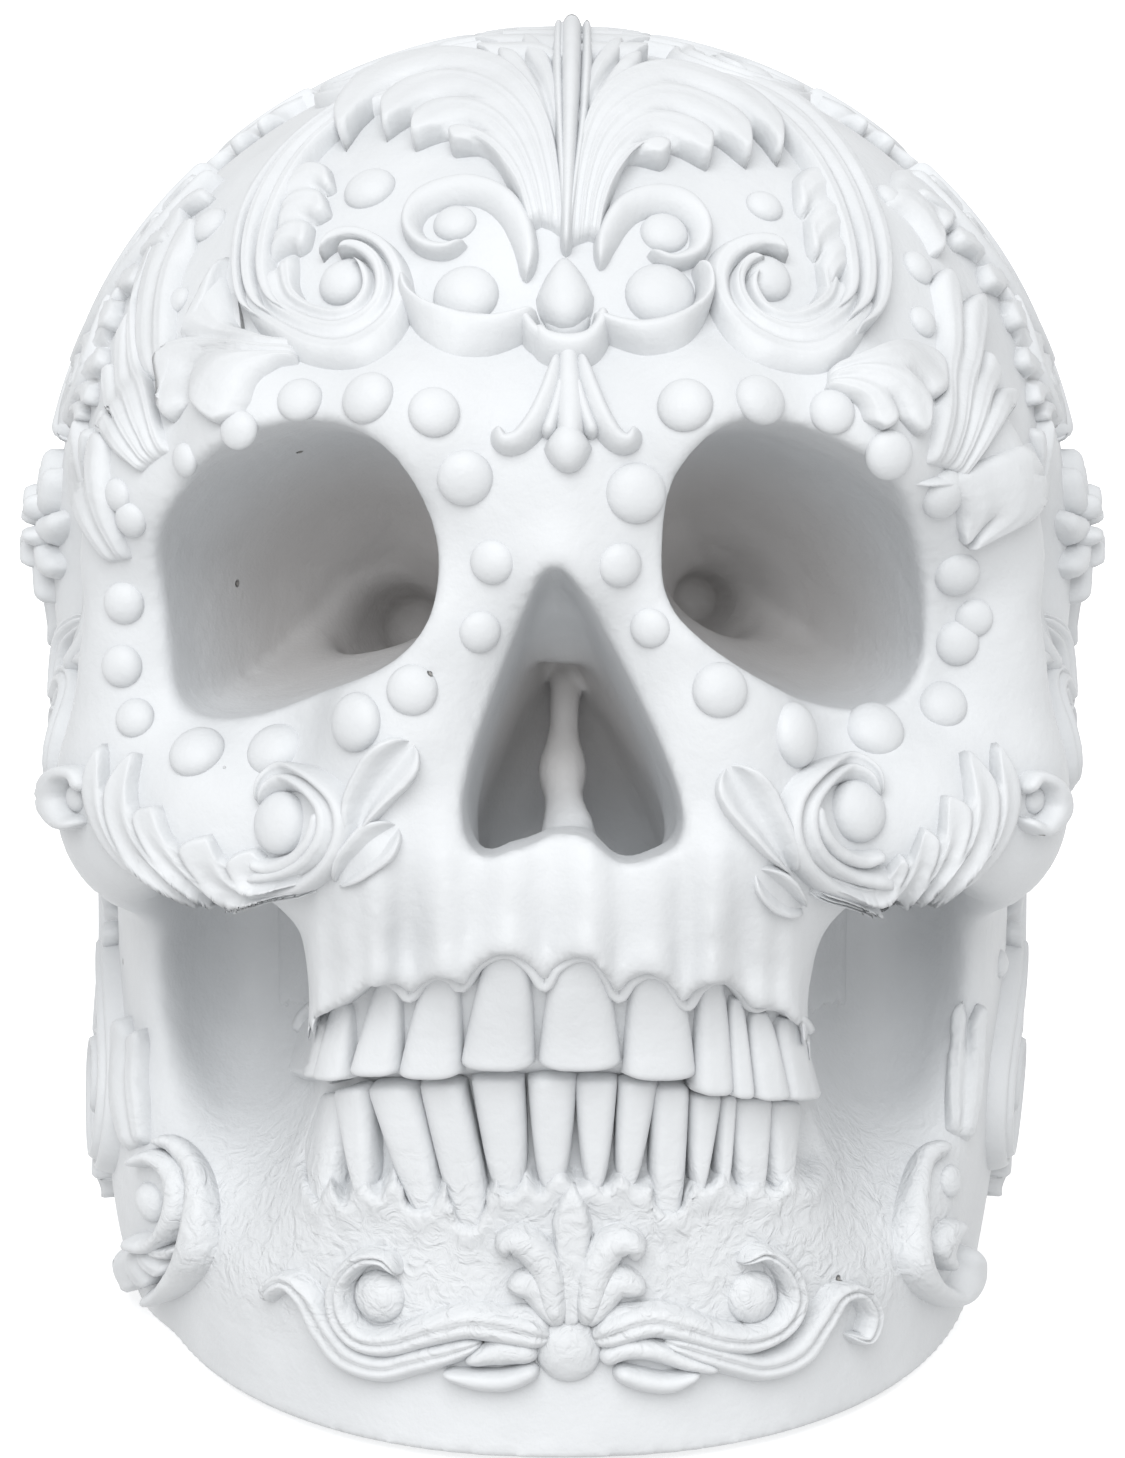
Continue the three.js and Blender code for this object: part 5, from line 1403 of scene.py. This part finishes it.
# %% Teeth
UPPER_TEETH = (
    ((302, 326, 1081), (304, 326, 1022)), ((328, 352, 1080), (330, 352, 1016)),
    ((356, 401, 1075), (376, 400, 990)), ((402, 461, 1078), (424, 458, 982)),
    ((463, 533, 1069), (487, 528, 956)), ((540, 619, 1068), (555, 604, 957)),
    ((624, 693, 1079), (634, 680, 972)), ((693, 729, 1095), (700, 724, 982)),
    ((728, 748, 1097), (728, 744, 1010)), ((750, 780, 1099), (748, 772, 1024)),
    ((780, 806, 1101), (776, 800, 1030)))
LOWER_TEETH = (
    ((292, 324, 1086), (302, 324, 1202)), ((324, 360, 1086), (346, 370, 1186)),
    ((360, 411, 1084), (407, 443, 1208)), ((415, 459, 1080), (451, 493, 1222)),
    ((469, 521, 1076), (489, 527, 1184)), ((528, 576, 1076), (537, 567, 1182)),
    ((577, 618, 1078), (583, 608, 1180)), ((622, 660, 1080), (616, 640, 1180)),
    ((658, 692, 1084), (652, 686, 1214)), ((696, 726, 1094), (694, 710, 1182)),
    ((726, 740, 1094), (720, 734, 1182)), ((738, 780, 1096), (742, 772, 1190)),
    ((780, 810, 1098), (780, 800, 1186)))
GUM_RIM_WIDTHS = (7, 9, 9, 9, 7)
TOOTH_SINK = 4.5
ROOT_LENGTH = 12
TOOTH_OVERLAP = 2
TOOTH_CROWDING = (0.9, 0.75)
TOOTH_BELLY, TOOTH_BITE_ROUNDING = 0.04, 0.04
ROOT_END, ROOT_END_POWER = 1.04, 9
TOOTH_EDGE_HEIGHT, TOOTH_ROUNDING, TOOTH_SHOULDER = 0.3, 3.4, 0.6
BITE_CREST, BITE_CREST_WIDTH, BITE_FALL_WIDTH = 0.45, 0.015, 0.09


def tooth(piece, biting, root, floor, at_edge, at_root):
    """A tooth between its biting edge and its root, each as left u, right u and v in pixels. It
    stands on the floor of the recess, and its face is so high at the biting edge and at the root."""
    (la, ra, va), (lb, rb, vb) = biting, root
    la, ra = la - TOOTH_OVERLAP, ra + TOOTH_OVERLAP
    vb += math.copysign(ROOT_LENGTH, vb - va)
    s = np.linspace(0, 1, 40)[:, None] ** TOOTH_CROWDING[0]
    q = np.linspace(-1, 1, 29)
    q = np.sign(q) * np.abs(q) ** TOOTH_CROWDING[1]
    half = ((ra - la) * (1 - s) + (rb - lb) * s) / 2 * (1 + TOOTH_BELLY * np.sin(math.pi * s))
    half = half * np.sqrt(np.clip(1 - (s / ROOT_END) ** ROOT_END_POWER, 0, 1))
    middle = ((ra + la) * (1 - s) + (rb + lb) * s) / 2
    v = va + (vb - va) * (s + TOOTH_BITE_ROUNDING * np.abs(q) ** 3 * (1 - s))
    places = np.stack(np.broadcast_arrays(middle + half * q, v), -1)
    dome = np.clip(1 - np.abs(q) ** TOOTH_ROUNDING, 0, 1) ** TOOTH_SHOULDER
    dome = TOOTH_EDGE_HEIGHT + (1 - TOOTH_EDGE_HEIGHT) * dome
    face = at_edge + (at_root - at_edge) * s + floor
    edge = BITE_CREST * rounded(s, BITE_CREST_WIDTH) + (1 - BITE_CREST) * rounded(s, BITE_FALL_WIDTH)
    patch(piece, places, face * dome * edge - floor, sink=TOOTH_SINK)


band("gum_rims", UPPER_GUM_PIXELS, GUM_RIM_WIDTHS, 1.5, tilt=0.25)
for biting, root in UPPER_TEETH:
    tooth("upper_teeth", biting, root, UPPER_DEPTH, 2.4, 0.4)
for biting, root in LOWER_TEETH:
    tooth("lower_teeth", biting, root, LOWER_DEPTH, -0.2, -0.3)
print(len(UPPER_TEETH), "upper and", len(LOWER_TEETH), "lower teeth")

# %% [markdown]
# ## Beads
#
# Round beads stand in rows round the sockets and inside the scrolls. One Geometry Nodes tree puts a
# ball on each point, with its size and direction read from attributes, and realises the copies, so
# that the export keeps them.

# %% Beads
FACE_BEADS = (
    (239, 430, 18), (300, 400, 21), (368, 398, 25), (434, 412, 23), (465, 478, 25), (492, 562, 20),
    (480, 632, 19), (412, 690, 23), (356, 722, 27), (275, 750, 27), (197, 752, 27), (135, 718, 19),
    (122, 666, 20), (124, 603, 20), (131, 520, 17), (118, 495, 16), (185, 460, 16),
    (685, 405, 25), (760, 400, 24), (832, 412, 21), (889, 455, 23), (943, 494, 24), (957, 574, 22),
    (974, 618, 18), (957, 643, 21), (943, 705, 23), (720, 690, 25), (795, 735, 30), (875, 730, 28),
    (636, 493, 27), (620, 565, 20), (650, 628, 18),
    (370, 190, 25), (455, 224, 20), (344, 283, 24), (466, 296, 30), (664, 234, 22), (766, 279, 24),
    (660, 296, 32), (764, 207, 18), (567, 320, 21), (569, 456, 15),
    (210, 226, 20), (179, 301, 14), (889, 198, 16), (917, 268, 18), (922, 322, 16),
    (281, 823, 29), (857, 811, 29), (76, 798, 13), (1034, 800, 13))
JAW_BEADS = ((151, 1202, 20), (950, 1181, 16), (569, 1348, 31), (380, 1296, 25), (752, 1297, 25),
             (106, 978, 14), (1000, 964, 14))
BEAD_FLATNESS = 0.58
BEAD_SEGMENTS, BEAD_RINGS = 28, 12


def add_node(tree, kind, inputs=(), **settings):
    """One node, with settings, and inputs that are values or other nodes' sockets."""
    made = tree.nodes.new(kind)
    for name, value in settings.items():
        setattr(made, name, value)
    for name, value in dict(inputs).items():
        if isinstance(value, bpy.types.NodeSocket):
            tree.links.new(value, made.inputs[name])
        else:
            made.inputs[name].default_value = value
    return made


def bead_tree():
    tree = bpy.data.node_groups.new("cast_beads", "GeometryNodeTree")
    for name, kind, way in (("Points", "Geometry", "INPUT"), ("Segments", "Int", "INPUT"),
                            ("Flatness", "Float", "INPUT"), ("Resin", "Material", "INPUT"),
                            ("Beads", "Geometry", "OUTPUT")):
        tree.interface.new_socket(name, in_out=way, socket_type="NodeSocket" + kind)
    given = add_node(tree, "NodeGroupInput").outputs
    ball = add_node(tree, "GeometryNodeMeshUVSphere", {
        "Segments": given["Segments"], "Rings": BEAD_RINGS, "Radius": 1.0})
    size = add_node(tree, "GeometryNodeInputNamedAttribute", {"Name": "size"}, data_type="FLOAT")
    facing = add_node(tree, "GeometryNodeInputNamedAttribute", {"Name": "facing"},
                      data_type="FLOAT_VECTOR")
    low = add_node(tree, "ShaderNodeMath", {0: size.outputs[0], 1: given["Flatness"]},
                   operation="MULTIPLY")
    scale = add_node(tree, "ShaderNodeCombineXYZ", {
        "X": size.outputs[0], "Y": size.outputs[0], "Z": low.outputs[0]})
    turn = add_node(tree, "FunctionNodeAlignRotationToVector", {"Vector": facing.outputs[0]}, axis="Z")
    copies = add_node(tree, "GeometryNodeInstanceOnPoints", {
        "Points": given["Points"], "Instance": ball.outputs["Mesh"], "Rotation": turn.outputs[0],
        "Scale": scale.outputs[0]})
    real = add_node(tree, "GeometryNodeRealizeInstances", {0: copies.outputs[0]})
    smooth = add_node(tree, "GeometryNodeSetShadeSmooth", {0: real.outputs[0]})
    coated = add_node(tree, "GeometryNodeSetMaterial", {0: smooth.outputs[0], "Material": given["Resin"]})
    add_node(tree, "NodeGroupOutput", {0: coated.outputs[0]})
    return tree


def beads(name, spots, normals, sizes, tree, material):
    made = new_mesh(name, spots, [])
    size = made.data.attributes.new("size", "FLOAT", "POINT")
    size.data.foreach_set("value", np.asarray(sizes, np.float32) * MM)
    facing = made.data.attributes.new("facing", "FLOAT_VECTOR", "POINT")
    facing.data.foreach_set("vector", np.asarray(normals, np.float32).ravel())
    placed = made.modifiers.new("beads", "NODES")
    placed.node_group = tree
    sockets = {s.name: s.identifier for s in tree.interface.items_tree if s.in_out == "INPUT"}
    placed[sockets["Segments"]] = BEAD_SEGMENTS
    placed[sockets["Flatness"]] = BEAD_FLATNESS
    placed[sockets["Resin"]] = material
    baked(made)
    print(name, len(spots), "beads")
    return made


beads_tree = bead_tree()
print("bead tree:", len(beads_tree.nodes), "nodes")

# %% [markdown]
# ## Materials
#
# Polyresin is resin filled with stone powder, poured into a rubber mould. It comes out matte and
# chalk white, with a fine grain, a few pinholes where air was caught, and slow changes of tone where
# the filler settled. Round the chin the sculptor's rough tool marks were left in the mould.

# %% Material helpers
def linear(hex_colour):
    """An sRGB hex colour as Blender's linear red, green, blue and alpha."""
    parts = [int(hex_colour[i:i + 2], 16) / 255 for i in (1, 3, 5)]
    return (*[c / 12.92 if c <= 0.04045 else ((c + 0.055) / 1.055) ** 2.4 for c in parts], 1.0)


def new_material(name, **values):
    """A Principled material with values on its own sockets, its tree, and Object coordinates."""
    made = bpy.data.materials.new(name)
    made.use_nodes = True
    shader = made.node_tree.nodes["Principled BSDF"]
    for socket, value in values.items():
        shader.inputs[socket.replace("_", " ")].default_value = value
    places = add_node(made.node_tree, "ShaderNodeTexCoord").outputs["Object"]
    return made, made.node_tree, shader, places


def per_size(size):
    """A texture scale from a size in mm."""
    return 1 / (size * MM)


print("chalk white #D2D4D6 reflects", round(linear("#D2D4D6")[1], 2), "of the light")

# %% [markdown]
# The white resin has four layers: a slow mottle of two whites, painted shade as a grey deep in the
# sockets and the nose, pinholes in a few of many small cells, each painted darker as shade, and a
# bump of grain, soft waves and tool marks.

# %% Pinholes and painted shade
# Air holes are about 0.7 mm wide, and one cell in six of a 7 mm pattern has one.
PINHOLE, PINHOLE_SPACING, PINHOLE_SHARE = 0.7, 7.0, 0.16
PINHOLE_CORE, PINHOLE_RIM = 0.3, 0.6
# Painted shade deep in the sockets and the nose: centre and radius in mm of each place.
SHADED_HOLLOWS = (((-20.0, -28.0, 82.0), 31.0), ((19.0, -28.0, 84.0), 30.0), ((0.0, -48.0, 72.0), 18.0))
SHADE_CORE = 0.3


def pinholes(tree, places):
    """A mask of small round holes, in some of the cells of a Voronoi pattern."""
    cells = add_node(tree, "ShaderNodeTexVoronoi", {
        "Vector": places, "Scale": per_size(PINHOLE_SPACING)})
    hole = add_node(tree, "ShaderNodeMapRange", {
        "Value": cells.outputs["Distance"], "From Min": PINHOLE_CORE * PINHOLE / PINHOLE_SPACING,
        "From Max": PINHOLE_RIM * PINHOLE / PINHOLE_SPACING, "To Min": 1.0, "To Max": 0.0})
    lot = add_node(tree, "ShaderNodeSeparateColor", {"Color": cells.outputs["Color"]})
    chosen = add_node(tree, "ShaderNodeMath", {0: lot.outputs["Red"], 1: PINHOLE_SHARE},
                      operation="LESS_THAN")
    return add_node(tree, "ShaderNodeMath", {0: hole.outputs["Result"], 1: chosen.outputs[0]},
                    operation="MULTIPLY").outputs[0]


def painted_shade(tree, places):
    """A mask of painted shade that is full at the middle of each hollow and fades to its radius."""
    mask = 0.0
    for centre, radius in SHADED_HOLLOWS:
        away = add_node(tree, "ShaderNodeVectorMath", {0: places, 1: Vector(centre) * MM},
                        operation="DISTANCE")
        spot = add_node(tree, "ShaderNodeMapRange", {
            "Value": away.outputs["Value"], "From Min": radius * MM,
            "From Max": SHADE_CORE * radius * MM, "To Min": 0.0, "To Max": 1.0},
            interpolation_type="SMOOTHSTEP")
        mask = add_node(tree, "ShaderNodeMath", {0: mask, 1: spot.outputs[0]},
                        operation="MAXIMUM").outputs[0]
    return mask


# The places counted here hold painted shade.
print("pinholes are", PINHOLE, "mm wide and", len(SHADED_HOLLOWS), "places are dusty")

# %% [markdown]
# The sculptor's tool marks show only on the front of the chin, between the teeth and the S-scrolls,
# so a mask from three ranges of height and depth keeps them there.

# %% Tool marks
TOOL_MARK = 2.2
CHIN_RANGES = (("Z", 34, 27), ("Z", 9, 15), ("Y", -40, -52))


def tool_marks(tree, places):
    """Rough marks on the front of the chin, and nowhere else."""
    marks = add_node(tree, "ShaderNodeTexNoise", {
        "Vector": places, "Scale": per_size(TOOL_MARK), "Detail": 4.0, "Distortion": 1.2})
    place = add_node(tree, "ShaderNodeSeparateXYZ", {"Vector": places})
    height = marks.outputs["Fac"]
    for axis, outside, inside in CHIN_RANGES:
        share = add_node(tree, "ShaderNodeMapRange", {
            "Value": place.outputs[axis], "From Min": outside * MM, "From Max": inside * MM,
            "To Min": 0.0, "To Max": 1.0})
        height = add_node(tree, "ShaderNodeMath", {0: height, 1: share.outputs[0]},
                          operation="MULTIPLY").outputs[0]
    return height


print("tool marks are", TOOL_MARK, "mm long")

# %% White resin
# Polyresin is matte and chalk white, slightly cold, because the stone powder in it scatters the light.
# The pinhole colour is painted shade inside each hole, and the grey for the sockets and the nose is painted
# shade.
RESIN_LIGHT, RESIN_SHADE, PINHOLE_SHADE_COLOUR, PAINTED_SHADE_COLOUR = "#D2D4D6", "#CBCDCF", "#94928E", "#C8C6C5"
MOTTLE, MOTTLE_LOW, MOTTLE_HIGH = 14.0, 0.3, 0.7
# The powder's grain is under 0.1 mm, too fine to show, so it is drawn 0.5 mm coarse.
GRAIN, GRAIN_RELIEF = 0.5, 0.07
# Hand rubbing of the model left soft waves, about 5 mm long.
WAVE, WAVE_RELIEF = 5.0, 0.6
RELIEF = 0.55


def white_polyresin():
    made, tree, shader, places = new_material("white_polyresin", Roughness=0.58, IOR=1.5)
    mottle = add_node(tree, "ShaderNodeTexNoise", {
        "Vector": places, "Scale": per_size(MOTTLE), "Detail": 5.0})
    tone = add_node(tree, "ShaderNodeValToRGB", {"Fac": mottle.outputs["Fac"]})
    shade, light = tone.color_ramp.elements
    shade.position, light.position = MOTTLE_LOW, MOTTLE_HIGH
    shade.color, light.color = linear(RESIN_SHADE), linear(RESIN_LIGHT)
    # Painted shade: the sockets and the nose turn grey towards their middles.
    shaded = add_node(tree, "ShaderNodeMix", {
        "Factor": painted_shade(tree, places), 6: tone.outputs["Color"], 7: linear(PAINTED_SHADE_COLOUR)}, data_type="RGBA")
    pit = pinholes(tree, places)
    # Painted shade: each pinhole is coloured darker, besides its dent in the bump.
    colour = add_node(tree, "ShaderNodeMix", {
        "Factor": pit, 6: shaded.outputs[2], 7: linear(PINHOLE_SHADE_COLOUR)}, data_type="RGBA")
    tree.links.new(colour.outputs[2], shader.inputs["Base Color"])
    height = tool_marks(tree, places)
    for size, detail, share in ((WAVE, 4.0, WAVE_RELIEF), (GRAIN, 3.0, GRAIN_RELIEF)):
        noise = add_node(tree, "ShaderNodeTexNoise", {
            "Vector": places, "Scale": per_size(size), "Detail": detail})
        height = add_node(tree, "ShaderNodeMath", {0: noise.outputs["Fac"], 1: share, 2: height},
                          operation="MULTIPLY_ADD").outputs[0]
    height = add_node(tree, "ShaderNodeMath", {0: height, 1: pit}, operation="SUBTRACT").outputs[0]
    bump = add_node(tree, "ShaderNodeBump", {
        "Height": height, "Strength": 1.0, "Distance": RELIEF * MM})
    tree.links.new(bump.outputs["Normal"], shader.inputs["Normal"])
    return made


resin = white_polyresin()
print("white polyresin:", len(resin.node_tree.nodes), "nodes")

# %% [markdown]
# The plate is the same resin, ground flat on a belt, which leaves fine scratches one way. The pads are
# pressed felt: short fibres in all directions, with a soft sheen at the edge.

# %% Closing plate and felt
# A belt's scratches are under 0.1 mm wide, too fine to show, so they are drawn about 0.5 mm wide.
SANDING_LENGTH, SANDING_STRETCH, SANDING_RELIEF = 6.0, 12.0, 0.1
PLATE_SHADE, PLATE_LIGHT = "#C9CACB", "#D6D7D8"
# Felt shows its tangle of fibres at just under a millimetre.
FIBRE, FIBRE_RELIEF = 0.8, 0.2
FELT_SHADE, FELT_LIGHT = "#B9B9B4", "#D5D5D1"


def tone_and_bump(tree, shader, pattern, shade, light, strength, relief):
    """Two colours and a bump from one pattern."""
    tone = add_node(tree, "ShaderNodeMix", {"Factor": pattern, 6: linear(shade), 7: linear(light)},
                    data_type="RGBA")
    tree.links.new(tone.outputs[2], shader.inputs["Base Color"])
    bump = add_node(tree, "ShaderNodeBump", {
        "Height": pattern, "Strength": strength, "Distance": relief * MM})
    tree.links.new(bump.outputs["Normal"], shader.inputs["Normal"])


def sanded_resin():
    made, tree, shader, places = new_material("sanded_resin_plate", Roughness=0.68, IOR=1.5)
    scratches = add_node(tree, "ShaderNodeMapping", {"Vector": places, "Scale": (1.0, SANDING_STRETCH, 1.0)})
    sanding = add_node(tree, "ShaderNodeTexNoise", {
        "Vector": scratches.outputs[0], "Scale": per_size(SANDING_LENGTH), "Detail": 4.0})
    tone_and_bump(tree, shader, sanding.outputs["Fac"], PLATE_SHADE, PLATE_LIGHT, 0.6, SANDING_RELIEF)
    return made


def pressed_felt():
    made, tree, shader, places = new_material("pressed_felt", Roughness=0.95, Sheen_Weight=0.4)
    fibres = add_node(tree, "ShaderNodeTexNoise", {
        "Vector": places, "Scale": per_size(FIBRE), "Detail": 6.0, "Distortion": 2.0})
    tone_and_bump(tree, shader, fibres.outputs["Fac"], FELT_SHADE, FELT_LIGHT, 0.8, FIBRE_RELIEF)
    return made


sanded, felt = sanded_resin(), pressed_felt()
print("materials:", resin.name, sanded.name, felt.name)

# %% [markdown]
# ## Dressing the model
#
# The castings replace the two solids of the frame. The closing plate and the felt pads keep their CAD
# shape, which is right, and only get their materials.

# %% Pieces
bead_pieces = [beads("side_beads", *zip(*side_beads), beads_tree, resin)]
for name, table in (("skull_beads", FACE_BEADS), ("jaw_beads", JAW_BEADS)):
    spots, normals = land(*photo_rays(np.array(table, float)[:, :2]))
    bead_pieces.append(beads(name, spots, normals, [r * PIXEL for _, _, r in table], beads_tree, resin))
for made in (skull, jaw, *finish_carvings(), *bead_pieces):
    made.data.materials.clear()
    made.data.materials.append(resin)
    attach(made, "root")
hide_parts("skull_casting")
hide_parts("jaw_casting")
for name, material in (("base_plate", sanded), *((pad, felt) for pad in PADS)):
    for slot in bpy.data.objects[name].material_slots:
        slot.material = material
print("resin is on", 2 + len(carvings) + len(bead_pieces), "pieces")

# %% [markdown]
# ## Floor and light
#
# The photograph has a white ground and soft light from above the camera. A wide sun gives that on the
# whole floor at once, and a white world fills the shadows. The floor's paper glows a little, so that
# it stays white in the skull's shadow, and it sends no light back up, so that the sockets stay grey.

# %% Stage
FLOOR_HALF = 4.0
PAPER_TOOTH, PAPER_GLOW = 1.5, 0.35
WORLD_STRENGTH = 0.8
SUN_ELEVATION, SUN_AZIMUTH = math.radians(45), math.radians(-8)
SUN_STRENGTH, SUN_ANGLE, SUN_COLOUR = 2.25, math.radians(50), (0.98, 0.99, 1.0)

floor = bpy.data.objects.new("floor", bpy.data.meshes.new("floor"))
corners = [(x * FLOOR_HALF, y * FLOOR_HALF, 0) for x, y in ((-1, -1), (1, -1), (1, 1), (-1, 1))]
floor.data.from_pydata(corners, [], [(0, 1, 2, 3)])
bpy.context.scene.collection.objects.link(floor)
paper, paper_tree, paper_shader, paper_places = new_material(
    "matt_white_paper", Roughness=0.9, Emission_Color=linear("#FFFFFF"), Emission_Strength=PAPER_GLOW)
paper_grain = add_node(paper_tree, "ShaderNodeTexNoise", {
    "Vector": paper_places, "Scale": per_size(PAPER_TOOTH), "Detail": 4.0})
paper_tone = add_node(paper_tree, "ShaderNodeMix", {
    "Factor": paper_grain.outputs["Fac"], 6: linear("#F8F8F8"), 7: linear("#FAFAFA")}, data_type="RGBA")
paper_tree.links.new(paper_tone.outputs[2], paper_shader.inputs["Base Color"])
floor.data.materials.append(paper)
floor.visible_diffuse = False

world = bpy.data.worlds.new("studio")
world.use_nodes = True
background = world.node_tree.nodes["Background"].inputs
background["Color"].default_value = linear("#FFFFFF")
background["Strength"].default_value = WORLD_STRENGTH
bpy.context.scene.world = world
sun = bpy.data.objects.new("wide_sun", bpy.data.lights.new("wide_sun", "SUN"))
sun.data.energy = SUN_STRENGTH
sun.data.angle = SUN_ANGLE
sun.data.color = SUN_COLOUR
flat = math.cos(SUN_ELEVATION)
towards_sun = Vector((math.sin(SUN_AZIMUTH) * flat, -math.cos(SUN_AZIMUTH) * flat, math.sin(SUN_ELEVATION)))
sun.rotation_euler = towards_sun.to_track_quat("Z", "Y").to_euler()
bpy.context.scene.collection.objects.link(sun)
bpy.context.scene.view_settings.view_transform = "Standard"
print("floor", 2 * FLOOR_HALF, "m wide, one sun and a white world")
